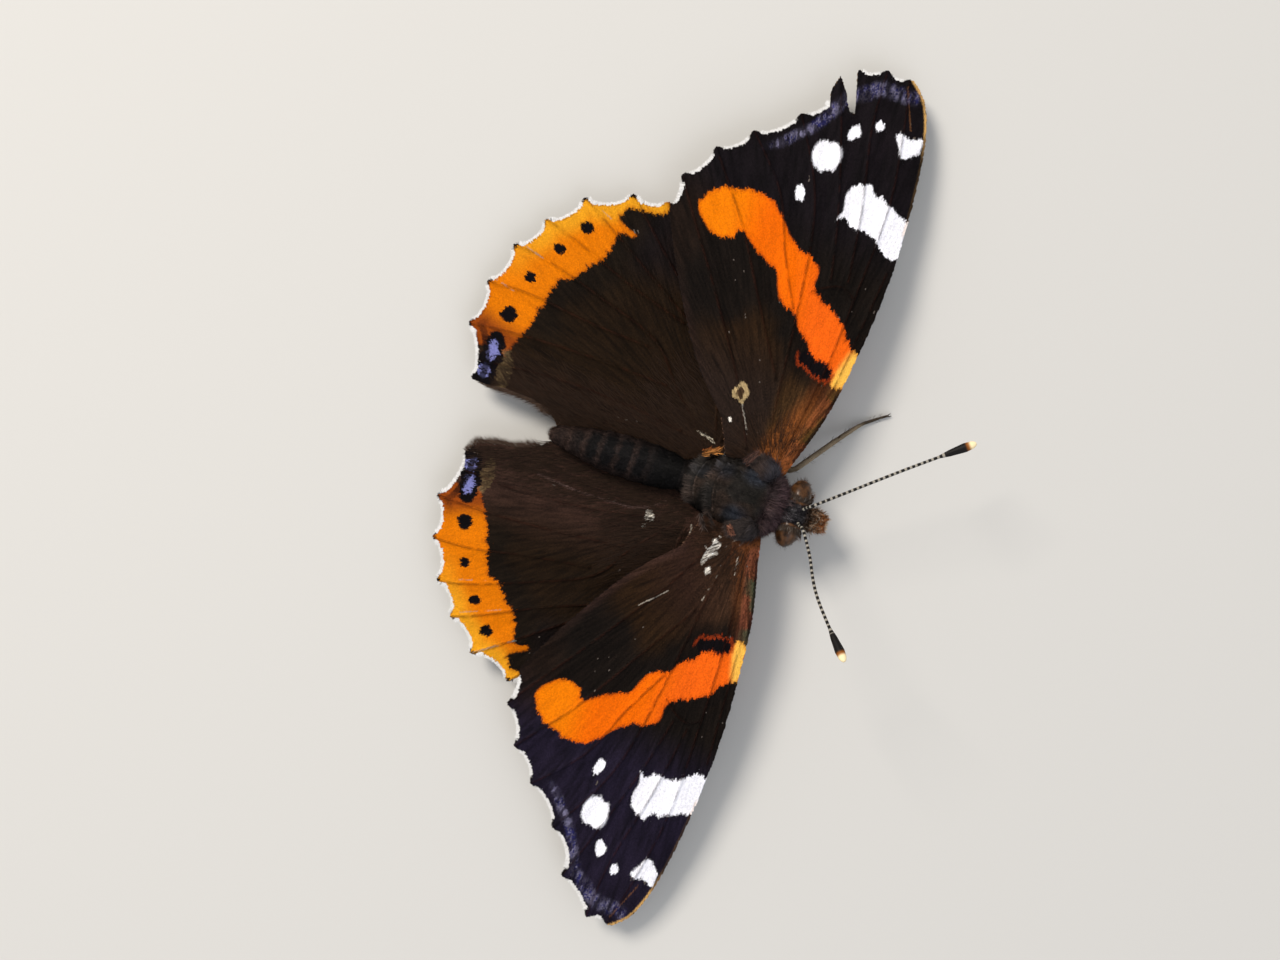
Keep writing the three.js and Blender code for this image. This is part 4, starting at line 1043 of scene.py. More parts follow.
def build_mesh(name, side, corners, faces, material, colours=None, patches=None):
    """Makes a piece from places in millimetres and its faces, with its colours and bake map."""
    faces = np.asarray(faces, np.int32)
    if side == LEFT:
        faces = faces[:, ::-1]
    mesh = bpy.data.meshes.new(name)
    mesh.vertices.add(len(corners))
    mesh.vertices.foreach_set("co", to_frame(side, corners).astype(np.float32).ravel())
    mesh.loops.add(faces.size)
    mesh.loops.foreach_set("vertex_index", np.ascontiguousarray(faces).ravel())
    mesh.polygons.add(len(faces))
    mesh.polygons.foreach_set("loop_start", np.arange(0, faces.size, faces.shape[1], dtype=np.int32))
    mesh.polygons.foreach_set("use_smooth", np.ones(len(faces), bool))
    if colours is not None:
        tint = mesh.color_attributes.new("Tint", "FLOAT_COLOR", "POINT")
        rgba = np.column_stack([np.clip(colours, 0, 1), np.ones(len(colours))])
        tint.data.foreach_set("color", rgba.astype(np.float32).ravel())
    if patches is not None:
        layer = mesh.uv_layers.new(name="OFBake")
        layer.data.foreach_set("uv", np.asarray(patches, np.float32)[faces.ravel()].ravel())
    mesh.update(calc_edges=True)
    mesh.validate()
    mesh.materials.append(material)
    piece = bpy.data.objects.new(name, mesh)
    bpy.context.scene.collection.objects.link(piece)
    return piece


def settle(piece, nodes=()):
    """Rides the piece on the body and hides the solids that it stands for."""
    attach(piece, "root")
    if nodes:
        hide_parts(*nodes)


def patches_at(roots, across, along):
    """Bake places: each scale or hair is a patch about 0.003 across at its root's place."""
    patch = 0.003
    u = roots[:, :1] + patch * (np.array(across)[None] - 0.5)
    v = roots[:, 1:] + patch * (np.array(along)[None] - 0.5)
    return np.stack([u, v], axis=2).reshape(-1, 2)


def scale_plates(roots, forward, normals, length, width, lift):
    """Flat, slightly arched scales, rooted narrow and broad towards the tip."""
    across = unit(np.cross(forward, normals))
    rings = []
    for share, spread, rise in ((0.0, 0.5, 0.0), (0.55, 1.0, 1.0), (1.0, 0.72, 0.85)):
        middle = roots + forward * (length * share)[:, None] + normals * (lift * rise)[:, None]
        reach = across * (width * spread / 2)[:, None]
        rings += [middle - reach, middle + reach]
    base = (np.arange(len(roots)) * 6)[:, None, None]
    faces = (base + np.array([[0, 1, 3, 2], [2, 3, 5, 4]])[None]).reshape(-1, 4)
    return np.stack(rings, axis=1).reshape(-1, 3), faces


SCALE_PATCH = ((0.25, 0.75, 0, 1, 0.15, 0.85), (0, 0, 0.55, 0.55, 1, 1))


def hair_blades(roots, lie, normals, length, width, lift, sink=0.06):
    """Thin tapered hairs that leave the skin at a slant and bend back along the lie."""
    across = unit(np.cross(lie, normals))
    length, width, lift = (np.broadcast_to(v, len(roots))[:, None] for v in (length, width, lift))
    half = across * width / 2
    low = roots - normals * sink
    middle = roots + lie * length * 0.5 + normals * length * lift * 0.75
    tip = roots + lie * length + normals * length * lift
    corners = np.stack([low - half * 0.8, low + half * 0.8, middle - half, middle + half, tip], axis=1)
    base = (np.arange(len(roots)) * 5)[:, None, None]
    faces = (base + np.array([[0, 1, 3], [0, 3, 2], [2, 3, 4]])[None]).reshape(-1, 3)
    return corners.reshape(-1, 3), faces


HAIR_PATCH = ((0.1, 0.9, 0, 1, 0.5), (0, 0, 0.5, 0.5, 1))


def hair_shades(colours, rng, spread, tip_gain):
    """One colour for each corner of a hair, darker at the root and paler at the tip. The dark root is painted
    shade where the hairs cover each other; the pale tip is partly the hair's own paler tip and partly painted
    light on the tips.
    """
    shade = 1 + spread * (rng.random(len(colours)) - 0.5)
    # Painted shade at the root and painted light at the tip, over the hair's own tone.
    steps = np.array([0.55, 0.55, 1.0, 1.0, tip_gain])
    return (colours[:, None, :] * shade[:, None, None] * steps[None, :, None]).reshape(-1, 3)


def tube(path, radii, sides, squash=1.0):
    """A closed round tube along a path: corners, triangles, and each corner's step along it."""
    tangent = unit(np.gradient(path, axis=0))
    normal = unit(np.cross(tangent[:1], np.array([[0.31, 0.17, 0.93]])))[0]
    rings = []
    for place, ahead, radius in zip(path, tangent, radii):
        normal = normal - ahead * (normal @ ahead)
        normal /= np.linalg.norm(normal)
        side = np.cross(ahead, normal)
        turn = np.linspace(0, 2 * math.pi, sides, endpoint=False)[:, None]
        rings.append(place + radius * (np.cos(turn) * normal + squash * np.sin(turn) * side))
    corners = np.vstack([*rings, path[:1], path[-1:]])
    count = len(path)
    faces = []
    for k in range(count - 1):
        for i in range(sides):
            j = (i + 1) % sides
            a, b, c, d = k * sides + i, k * sides + j, (k + 1) * sides + j, (k + 1) * sides + i
            faces += [(a, b, c), (a, c, d)]
    first, last, end = count * sides, count * sides + 1, (count - 1) * sides
    for i in range(sides):
        j = (i + 1) % sides
        faces += [(first, j, i), (last, end + i, end + j)]
    steps = np.concatenate([np.repeat(np.arange(count), sides), [0, count - 1]])
    return corners, np.array(faces), steps


def join(parts):
    """Joins (corners, faces, colours) of like pieces into one set."""
    corners, faces, colours, start = [], [], [], 0
    for part_corners, part_faces, part_colours in parts:
        corners.append(part_corners)
        faces.append(part_faces + start)
        colours.append(part_colours)
        start += len(part_corners)
    return np.vstack(corners), np.vstack(faces), np.vstack(colours)


def wing_membrane(wing, tones, material):
    """The membrane: one plan mesh used on both faces, fine along the veins, closed round its rim."""
    cell, jitter, vein_gap, rim_gap = 0.5, 0.15, 0.45, 0.06
    beside_vein = (-0.3, -0.12, 0, 0.12, 0.3)
    rng = np.random.default_rng(9)
    low, high = wing.rim.min(axis=0), wing.rim.max(axis=0)
    steps = [np.arange(low[i], high[i], cell) for i in (0, 1)]
    grid = np.stack(np.meshgrid(*steps), axis=2).reshape(-1, 2)
    grid = grid + jitter * (rng.random(grid.shape) - 0.5)
    lines = []
    for vein in wing.veins:
        tangent = unit(np.gradient(vein, axis=0))
        beside = np.stack([-tangent[:, 1], tangent[:, 0]], axis=1)
        lines += [vein + beside * reach for reach in beside_vein]
    inner = np.vstack([*lines, grid[wing.from_veins(grid) > vein_gap]])
    inner = inner[is_inside(inner, wing.rim)]
    inner = inner[distance_from(inner, np.vstack([wing.rim, wing.rim[:1]])) > rim_gap]
    count = len(wing.rim)
    points = [Vector(p) for p in np.vstack([wing.rim, inner])]
    edges = [(i, (i + 1) % count) for i in range(count)]
    plan, _, triangles, *_ = delaunay_2d_cdt(points, edges, [list(range(count))], 1, 1e-5)
    plan = np.array([tuple(p) for p in plan])
    triangles = np.array([t for t in triangles if len(t) == 3])
    pairs = {(t[i], t[(i + 1) % 3]) for t in triangles.tolist() for i in range(3)}
    rim_edges = sorted((a, b) for a, b in pairs if (b, a) not in pairs)
    size = len(plan)
    wall = [(b, a, a + size) for a, b in rim_edges] + [(b, a + size, b + size) for a, b in rim_edges]
    faces = np.vstack([triangles, triangles[:, ::-1] + size, np.array(wall)])
    corners = np.vstack([wing.surface(plan, 1)[0], wing.surface(plan, -1)[0]])
    colours = np.vstack([paint_upper(wing, plan, tones), paint_under(wing, plan, tones)])
    flat = wing.unwrap(plan) * (1, 0.5)
    patches = np.vstack([flat, flat + (0, 0.5)])
    piece = build_mesh(f"{wing.node}_membrane", wing.side, corners, faces, material, colours, patches)
    settle(piece, [wing.node])


def wing_coat(wing, sizes, tones, facing, material):
    """The scales of one face, in rows round the hinge, each row shifted against the last."""
    rng = np.random.default_rng(40 + 7 * wing.side + facing + (3 if wing.fore else 0))
    coarser = 1.0 if facing > 0 else 1.25
    row, pitch = sizes.row_pitch / MM * coarser, sizes.scale_pitch / MM * coarser
    # The rows run in arcs round a point inside the hinge.
    focus, first_row = wing.hinge - (2.5, 0.0), 2.2
    far = np.max(np.linalg.norm(wing.rim - focus, axis=1))
    rows = []
    for k, radius in enumerate(np.arange(first_row, far, row)):
        gap = pitch / radius
        angles = np.arange(-math.pi / 2 - 0.35, math.pi / 2, gap)
        angles = angles + gap * ((k % 2) * 0.5 + 0.35 * (rng.random(len(angles)) - 0.5))
        ring = radius + row * 0.45 * (rng.random(len(angles)) - 0.5)
        rows.append(focus + np.stack([ring * np.cos(angles), ring * np.sin(angles)], axis=1))
    points = np.vstack(rows)
    points = points[is_inside(points, wing.rim)]
    count = len(points)
    outward = unit(points - focus)
    swing = 0.16 * (rng.random(count) - 0.5)
    roots, normals = wing.surface(points, facing)
    turned = np.stack([outward[:, 0] - swing * outward[:, 1], outward[:, 1] + swing * outward[:, 0]], axis=1)
    forward = np.column_stack([turned, np.zeros(count)])
    forward = laid_flat(forward, normals)
    tilted = normals + np.cross(forward, normals) * (0.3 * (rng.random(count) - 0.5))[:, None]
    length = sizes.scale_length / MM * coarser * (0.88 + 0.3 * rng.random(count))
    width = pitch * (1.12 + 0.2 * rng.random(count))
    lift = 0.03 + 0.02 * rng.random(count)
    corners, faces = scale_plates(roots + normals * 0.006, forward, tilted, length, width, lift)
    paint = paint_upper if facing > 0 else paint_under
    colours = np.repeat(paint(wing, points, tones, ragged=0.2), 6, axis=0)
    patches = patches_at(wing.unwrap(points), *SCALE_PATCH)
    name = f"{wing.node}_{'upper' if facing > 0 else 'under'}_scales"
    settle(build_mesh(name, wing.side, corners, faces, material, colours, patches))


def wing_fringe(wing, tones, material):
    """The fringe: long narrow scales along the margin, pale in the bays and black at the vein tips."""
    rng = np.random.default_rng(70 + wing.side)
    inner = wing.outer_margin(wing.fringe)
    base = "#2a2426" if wing.fore else "#6a4a26"
    # From the lowest layer up: the pitch of its scales, their length against the fringe, and their tone.
    layers = ((0.045, 0.72, base), (0.04, 1.0, tones.fringe), (0.045, 0.9, tones.fringe))
    places, ways, lengths, hues, levels = [], [], [], [], []
    for level, (pitch, stretch, tone) in enumerate(layers):
        line = even_steps(inner, pitch)
        tangent = even_out(unit(np.gradient(line, axis=0)), 21)
        outward = np.stack([-tangent[:, 1], tangent[:, 0]], axis=1)
        if wing.fore and wing.side == LEFT:
            kept = distance_from(line, wing.draw(FORE_TEAR)) > 0.3
            kept &= np.linalg.norm(line - wing.draw(FORE_TEAR[-1:]), axis=1) > 0.8
            line, tangent, outward = line[kept], tangent[kept], outward[kept]
        line = line + 0.04 * (rng.random(line.shape) - 0.5) - outward * 0.08
        outward = unit(outward + tangent * (0.2 * (rng.random(len(line)) - 0.5))[:, None])
        near = np.min([np.linalg.norm(line - tip, axis=1) for tip in wing.tips], axis=0)
        dark_reach = 0.75 if wing.fore else 0.5
        dark = smooth(dark_reach, dark_reach - 0.2, near + 0.25 * (rng.random(len(line)) - 0.5))
        hue = lay(plain(tone, len(line)), dark, "#120c0d")
        places.append(line)
        ways.append(outward)
        lengths.append(wing.fringe * stretch * (0.85 + 0.3 * rng.random(len(line))) * (1 - 0.45 * dark))
        hues.append(hue * (1 - 0.15 * rng.random(len(line)))[:, None])
        levels.append(np.full(len(line), level))
    line, count = np.vstack(places), sum(len(p) for p in places)
    roots, _ = wing.surface(line, 1)
    roots[:, 2] += 0.02 * np.concatenate(levels) - wing.half_membrane
    forward = np.column_stack([np.vstack(ways), np.full(count, -0.06)])
    up = np.tile((0.0, 0.0, 1.0), (count, 1))
    width, lift = np.full(count, 0.065), np.full(count, 0.012)
    corners, faces = scale_plates(roots, forward, up, np.concatenate(lengths), width, lift)
    colours = np.repeat(np.vstack(hues), 6, axis=0)
    patches = patches_at(wing.unwrap(line), *SCALE_PATCH)
    piece = build_mesh(f"{wing.node}_fringe", wing.side, corners, faces, material, colours, patches)
    settle(piece)


def wing_hair(wing, coat, material):
    """Long soft hair on the base of a wing and along the inner margin of the hindwing."""
    tries, edge_pitch = 60000, 0.008
    rng = np.random.default_rng(90 + wing.side + (5 if wing.fore else 0))
    low, high = wing.rim.min(axis=0), wing.rim.max(axis=0)
    points = low + (high - low) * rng.random((tries, 2))
    points = points[is_inside(points, wing.rim)]
    x, y = points.T
    reach = np.linalg.norm(points - wing.hinge, axis=1)
    if wing.fore:
        from_front = distance_from(points, spline(wing.draw([(2.0, 7.9), *FORE_FRONT]), 0.4))
        chance = smooth(4.2, 1.4, reach) * smooth(0.3, 1.0, from_front) * 0.4
        lie = unit(points - wing.hinge + (0.6, -0.4))
        tone = "#2c1d13"
    else:
        chance = np.maximum(smooth(5.5, 2.0, x) * smooth(-17.5, -13, y), smooth(8, 3, reach)) * 0.5
        lie = unit(np.stack([0.25 + 0.05 * x, -np.ones(len(x))], axis=1))
        tone = HAIR_BROWN
    keep = rng.random(len(points)) < chance
    points, lie = points[keep], lie[keep]
    swing = 0.5 * (grain(points, 0.7, 61) - 0.5) + 0.3 * (rng.random(len(points)) - 0.5)
    lie = unit(lie + np.stack([-lie[:, 1], lie[:, 0]], axis=1) * swing[:, None])
    if not wing.fore:
        edge = np.vstack([wing.draw([(1.8, -17.2)]), HIND_INNER[wing.side]])
        edge = even_steps(edge, edge_pitch)[:-1]
        edge = edge + 0.14 * (rng.random(edge.shape) - 0.5)
        edge = edge[smooth(-17.1, -15.4, edge[:, 1]) > rng.random(len(edge))]
        points = np.vstack([points, edge])
        inward = np.stack([-0.1 - 0.55 * rng.random(len(edge)), -1 + 0.2 * rng.random(len(edge))], axis=1)
        lie = np.vstack([lie, unit(inward)])
    roots, normals = wing.surface(points, 1)
    count = len(points)
    forward = unit(np.column_stack([lie, np.full(count, 0.02)]))
    stretch = 0.5 + 0.6 * rng.random(count)
    if not wing.fore:
        stretch[: -len(edge)] *= 0.25 + 0.75 * smooth(-16.5, -13.0, points[: -len(edge), 1])
        stretch[-len(edge) :] *= 0.6 * (0.2 + 0.8 * smooth(-16.5, -14.0, edge[:, 1]))
    length = coat.base_hair / MM * stretch
    corners, faces = hair_blades(roots, forward, normals, length, coat.hair_width / MM * 0.65, 0.07)
    tone = plain(tone, count)
    if not wing.fore:
        tone[-len(edge) :] = lay(tone[-len(edge) :], rng.random(len(edge)), "#4c3c32")
    colours = hair_shades(tone, rng, 0.9, 1.25)
    patches = patches_at(wing.unwrap(points), *HAIR_PATCH)
    piece = build_mesh(f"{wing.node}_hair", wing.side, corners, faces, material, colours, patches)
    settle(piece)


class ADMIRAL_OT_wings(bpy.types.Operator):
    """Adds the four wings: membranes with veins, scales on both faces and the fringe"""

    bl_idname = "admiral.wings"
    bl_label = "Wings"

    def execute(self, context):
        sizes, tones = context.scene.admiral_wings, context.scene.admiral_tones
        material = wing_scale_material()
        hair = hair_material("Wing base hair", 0.7)
        for name in ("forewing", "hindwing"):
            for side, _ in SIDES:
                wing = Wing(name, side, sizes)
                wing_membrane(wing, tones, material)
                wing_coat(wing, sizes, tones, 1, material)
                wing_coat(wing, sizes, tones, -1, material)
                wing_fringe(wing, tones, material)
                wing_hair(wing, context.scene.admiral_coat, hair)
        return {"FINISHED"}


class ADMIRAL_OT_body(bpy.types.Operator):
    """Adds one skin for head, thorax and abdomen, and the fur on it"""

    bl_idname = "admiral.body"
    bl_label = "Body"

    def execute(self, context):
        coat, tones = context.scene.admiral_coat, context.scene.admiral_tones
        body_skin(tones)
        body_fur(coat, tones)
        add_tegulae(coat)
        add_tufts(coat)
        return {"FINISHED"}


def body_skin(tones):
    """The skin: rings from the face to the tip of the abdomen."""
    sides = 96
    # Rings of head, thorax and abdomen: the first, the last and their number.
    stretches = ((10.97, 8.3, 60), (8.26, 0.7, 110), (0.65, -9.79, 230))
    aheads = np.concatenate([np.linspace(*stretch) for stretch in stretches])
    angles = np.linspace(0, 2 * math.pi, sides, endpoint=False)
    ahead, angle = (grid.ravel() for grid in np.meshgrid(aheads, angles, indexing="ij"))
    places, _ = body_surface(ahead, angle)
    colours = paint_body(ahead, angle, tones)
    ring = np.arange(sides)
    faces = []
    for k in range(len(aheads) - 1):
        a, b = k * sides + ring, k * sides + (ring + 1) % sides
        c, d = b + sides, a + sides
        faces += [np.stack([a, b, c], axis=1), np.stack([a, c, d], axis=1)]
    count = len(places)
    last = (len(aheads) - 1) * sides
    faces.append(np.stack([np.full(sides, count), (ring + 1) % sides, ring], axis=1))
    faces.append(np.stack([np.full(sides, count + 1), last + ring, last + (ring + 1) % sides], axis=1))
    ends = np.array([places[:sides].mean(axis=0), places[-sides:].mean(axis=0)])
    material = cuticle_material("Body cuticle under fur", 0.75, 0.08, 0.02, 0.08)
    corners = np.vstack([places, ends])
    colours = np.vstack([colours, colours[:1], colours[-1:]])
    piece = build_mesh("body_skin", LEFT, corners, np.vstack(faces), material, colours)
    settle(piece, ["head", "thorax", "abdomen"])


def skin_roots(count, first, last, seed):
    """Random roots spread evenly over the skin between two places along it."""
    rng = np.random.default_rng(seed)
    ahead = first + (last - first) * rng.random(count * 3)
    angle = 2 * math.pi * rng.random(count * 3)
    rows = np.array(BODY)[::-1]
    girth = np.interp(ahead, rows[:, 0], rows[:, 1] + (rows[:, 2] - rows[:, 3]) / 2)
    keep = rng.random(len(ahead)) * 6 < girth
    return ahead[keep][:count], angle[keep][:count], rng


# Coats of the body: where each grows, its share of the hairs, the coat size that it follows, its
# length against that size, how steeply it stands, and how wide its tufts are in millimetres.
COATS = {
    "thorax_fur": ((8.3, 0.8), 0.3, "thorax_hair", 0.36, 0.4, 0.22),
    "thorax_tufts": ((8.0, 1.6), 0.16, "thorax_hair", 0.62, 0.22, 0.34),
    "waist_fur": ((2.4, 0.6), 0.07, "thorax_hair", 0.7, 0.1, 0.3),
    "collar_fur": ((9.0, 7.3), 0.14, "thorax_hair", 1.0, 0.35, 0.2),
    "abdomen_fur": ((0.9, -9.75), 0.2, "abdomen_hair", 1.0, 0.2, 0.3),
    "head_fur": ((10.95, 8.7), 0.13, "head_hair", 0.75, 1.3, 0.12),
}
# How far the hair of one tuft is combed away from the next, and one hair from its tuft.
COMB = {"abdomen_fur": (0.6, 0.3), "head_fur": (1.2, 1.4), "collar_fur": (1.0, 1.1)}
COMB_ELSEWHERE = (0.7, 0.6)


def tuft_of(place, size, seed):
    """Which tuft each hair belongs to: uneven patches of about the given size."""
    warp = np.stack([grain(place, size * 1.3, seed), grain(place, size * 1.3, seed + 1)], axis=1)
    _, index = np.unique(np.floor(place / size + 1.2 * warp).astype(int), axis=0, return_inverse=True)
    return index.ravel()


def towards_tuft(roots, index):
    """From each root to the middle of its tuft, where the hair tips draw together."""
    count = np.bincount(index)
    middle = np.stack([np.bincount(index, roots[:, i]) / count for i in range(3)], axis=1)
    return middle[index] - roots


def fur_lie(part, ahead, angle):
    """Which way the hair of each coat is combed."""
    across, one = np.cos(angle), np.ones(len(ahead))
    if part == "head_fur":
        return np.stack([across * 0.9, 0.55 * one, 0.3 * one], axis=1)
    if part == "collar_fur":
        return np.stack([across * 0.55, one, 0.1 * one], axis=1)
    outward = 0.25 + 0.8 * smooth(0.45, 0.9, np.abs(across)) * (part == "thorax_tufts")
    return np.stack([across * outward, -one, -0.15 * one], axis=1)


def body_fur(coat, tones):
    """The coats of the body, each of hairs in tufts that draw together at their tips."""
    material = hair_material("Body hair", 0.66)
    width = coat.hair_width / MM
    for seed, (part, form) in enumerate(COATS.items()):
        span, share, follows, stretch, steepness, tuft_size = form
        ahead, angle, rng = skin_roots(int(coat.body_hairs * share), *span, 110 + seed)
        if part == "head_fur":
            beside_eye = (np.abs(ahead - EYE_AHEAD) < 0.85) & (np.abs(np.sin(angle)) < 0.66)
            ahead, angle = ahead[~beside_eye], angle[~beside_eye]
        roots, normals = body_surface(ahead, angle)
        count = len(roots)
        girth = np.interp(ahead, (-9.75, 0.5, 4.5, 8.5, 10.9), (0.6, 1.5, 2.8, 1.3, 1.0))
        place = np.stack([ahead, angle * girth], axis=1)
        tuft = tuft_of(place, tuft_size, 80 + seed)
        drawn = np.random.default_rng(160 + seed).random((tuft.max() + 1, 4))
        by_tuft, by_hair = COMB.get(part, COMB_ELSEWHERE)
        lie = fur_lie(part, ahead, angle) + by_tuft * (drawn[tuft, :3] - 0.5)
        lie = lie + by_hair * (rng.random((count, 3)) - 0.5)
        # Hair lies along the skin, apart from the collar's, which may stand off it and fills the neck's gap.
        lie = unit(lie) if part == "collar_fur" else laid_flat(lie, normals)
        length = getattr(coat, follows) / MM * stretch * (0.6 + 0.5 * rng.random(count))
        if part == "abdomen_fur":
            at_side = smooth(0.7, 1.0, np.abs(np.cos(angle)))
            length *= np.interp(ahead, (-9.75, -8.6, 0.4), (1.5, 0.9, 1.0)) * (1 + 0.6 * at_side)
        pull = towards_tuft(roots, tuft)
        aim = lie * length[:, None] + 0.7 * pull
        length = np.linalg.norm(aim, axis=1)
        lift = steepness * (0.6 + 0.8 * rng.random(count))
        widths = width * (0.7 + 0.5 * rng.random(count))
        corners, faces = hair_blades(roots, unit(aim), normals, length, widths, lift)
        contrast = {"head_fur": 1.5, "collar_fur": 1.3}.get(part, 0.9)
        colours = paint_body(ahead, angle, tones) * (1 + contrast * (drawn[tuft, 3:] - 0.5))
        patches = patches_at(body_unwrap(ahead, angle), *HAIR_PATCH)
        colours = hair_shades(colours, rng, 0.9, 2.2 if part == "head_fur" else 1.7)
        settle(build_mesh(part, LEFT, corners, faces, material, colours, patches))


def dome(centre, reach, polar_end, rows, columns, tilt=0.0):
    """A rounded cap with its pole up, tilted outward: corners, faces and outward normals."""
    polar = np.repeat(np.linspace(0, polar_end, rows + 1), columns)
    turn = np.tile(np.linspace(0, 2 * math.pi, columns, endpoint=False), rows + 1)
    ball = np.stack([np.sin(polar) * np.cos(turn), np.sin(polar) * np.sin(turn), np.cos(polar)], axis=1)
    c, s = math.cos(tilt), math.sin(tilt)
    turned = np.array([[c, 0, s], [0, 1, 0], [-s, 0, c]])
    corners = np.array(centre) + (ball * np.array(reach)) @ turned.T
    normals = unit((ball / np.array(reach)) @ turned.T)
    ring = np.arange(columns)
    faces = []
    for k in range(rows):
        a, b = k * columns + ring, k * columns + (ring + 1) % columns
        faces += [np.stack([a, a + columns, b + columns], axis=1), np.stack([a, b + columns, b], axis=1)]
    last = rows * columns
    faces.append(np.stack([last + (ring + 1) % columns, last + ring, np.full(columns, len(corners))], axis=1))
    corners = np.vstack([corners, corners[last:].mean(axis=0)])
    return corners, np.vstack(faces)[:, ::-1], normals


def add_tegulae(coat):
    """The two scaly flaps over the forewing roots, with the hair that hides them."""
    shell = cuticle_material("Tegula cuticle", 0.7, 0.08, 0.02, 0.08)
    hair = hair_material("Tegula hair", 0.7)
    reach = (TEGULA["reach_out"] * 0.9, TEGULA["reach_ahead"] * 0.95, TEGULA["reach_up"])
    tilt = 0.35
    for side, side_name in SIDES:
        rng = np.random.default_rng(180 + side)
        out = TEGULA["out"] - 0.15 + side * middle_line(TEGULA["ahead"])
        centre = (out, TEGULA["ahead"], TEGULA["up"] - 0.55)
        corners, faces, _ = dome(centre, reach, 0.8 * math.pi, 16, 32, tilt)
        tone = plain("#1c1614", len(corners))
        settle(build_mesh(f"tegula_{side_name}", side, corners, faces, shell, tone))
        fine, _, normals = dome(centre, reach, 0.6 * math.pi, 60, 80, tilt)
        chosen = rng.choice(len(normals), 3000, replace=False)
        roots, normals = fine[chosen], normals[chosen]
        tuft = tuft_of(roots[:, :2], 0.3, 190)
        lie = np.array((0.5, -0.7, -0.1)) + 0.9 * (rng.random((tuft.max() + 1, 3))[tuft] - 0.5)
        lie = laid_flat(unit(lie + 0.7 * (rng.random(lie.shape) - 0.5)), normals)
        length = 0.55 * coat.thorax_hair / MM * (0.3 + 1.0 * rng.random(len(roots)))
        corners, faces = hair_blades(roots, lie, normals, length, coat.hair_width / MM * 0.8, 0.3)
        tone = plain("#332c29", len(roots))
        tone = lay(tone, smooth(0.4, 0.7, grain(roots, 0.6, 191 + side)) * 0.6, "#3a2e2a")
        # Towards the front the hair is bluish grey on the left and greyer on the right: painted sheen, as the
        # light catches the left tegula.
        tone = lay(tone, smooth(6.5, 7.3, roots[:, 1]) * 0.7, "#3b3b42" if side == LEFT else "#302d2f")
        tone = tone * (0.75 + 0.6 * rng.random(tuft.max() + 1)[tuft][:, None])
        patches = patches_at(body_unwrap(roots[:, 1], 0.6 + 0.4 * (roots[:, 0] - centre[0])), *HAIR_PATCH)
        colours = hair_shades(tone, rng, 0.9, 1.5)
        name = f"tegula_{side_name}_hair"
        settle(build_mesh(name, side, corners, faces, hair, colours, patches))


def add_tufts(coat):
    """Loose bright tufts at the wing roots."""
    material = hair_material("Wing root tufts", 0.7)
    strands, count = 9, 130
    for number, (side, root, tip, half, codes) in enumerate(TUFTS):
        rng = np.random.default_rng(200 + number)
        root, tip = np.array(root), np.array(tip)
        way = tip - root
        size = np.linalg.norm(way)
        sideways = unit(np.cross(way, (0, 0, 1.0))[None])[0]
        strand = rng.integers(0, strands, count)
        share = rng.random(count)[:, None]
        across = (2 * rng.random(strands) - 1)[strand][:, None] + 0.25 * (rng.random(count)[:, None] - 0.5)
        roots = root + way * 0.75 * share + sideways * half * across * (1 - 0.4 * share)
        stray = 1.4 * (rng.random((strands, 3)) - 0.5)[strand] + 0.7 * (rng.random((count, 3)) - 0.5)
        lie = unit(way + size * stray + sideways * across * 0.3)
        length = size * (0.12 + 0.32 * rng.random(count))
        up = np.tile((0.0, 0.0, 1.0), (count, 1))
        width, lift = coat.hair_width / MM * 0.8, 0.3 * rng.random(count)
        corners, faces = hair_blades(roots, lie, up, length, width, lift)
        mix = smooth(0.3, 0.9, rng.random(strands))[strand]
        shade = (0.1 + 1.2 * rng.random(strands))[strand][:, None]
        tone = lay(plain(codes[0], count), mix, codes[1])
        patches = patches_at(body_unwrap(roots[:, 1], roots[:, 0] / 3), *HAIR_PATCH)
        colours = hair_shades(tone * shade, rng, 0.8, 1.6)
        name = f"root_tuft_{number + 1}"
        settle(build_mesh(name, side, corners, faces, material, colours, patches))


class ADMIRAL_OT_eyes(bpy.types.Operator):
    """Adds the two domed compound eyes"""

    bl_idname = "admiral.eyes"
    bl_label = "Eyes"

    def execute(self, context):
        material = eye_material(tuple(context.scene.admiral_tones.eye))
        hair = hair_material("Eye rim hair", 0.66)
        for side, side_name in SIDES:
            add_eye(side, side_name, material, hair)
        return {"FINISHED"}


def head_reach(ahead, up):
    """How far out the head reaches at each place."""
    half, top, bottom, square = body_section(ahead)
    share = np.clip(np.abs(up - (top + bottom) / 2) / ((top - bottom) / 2), 0, 1)
    return half * (1 - share**square) ** (1 / square)


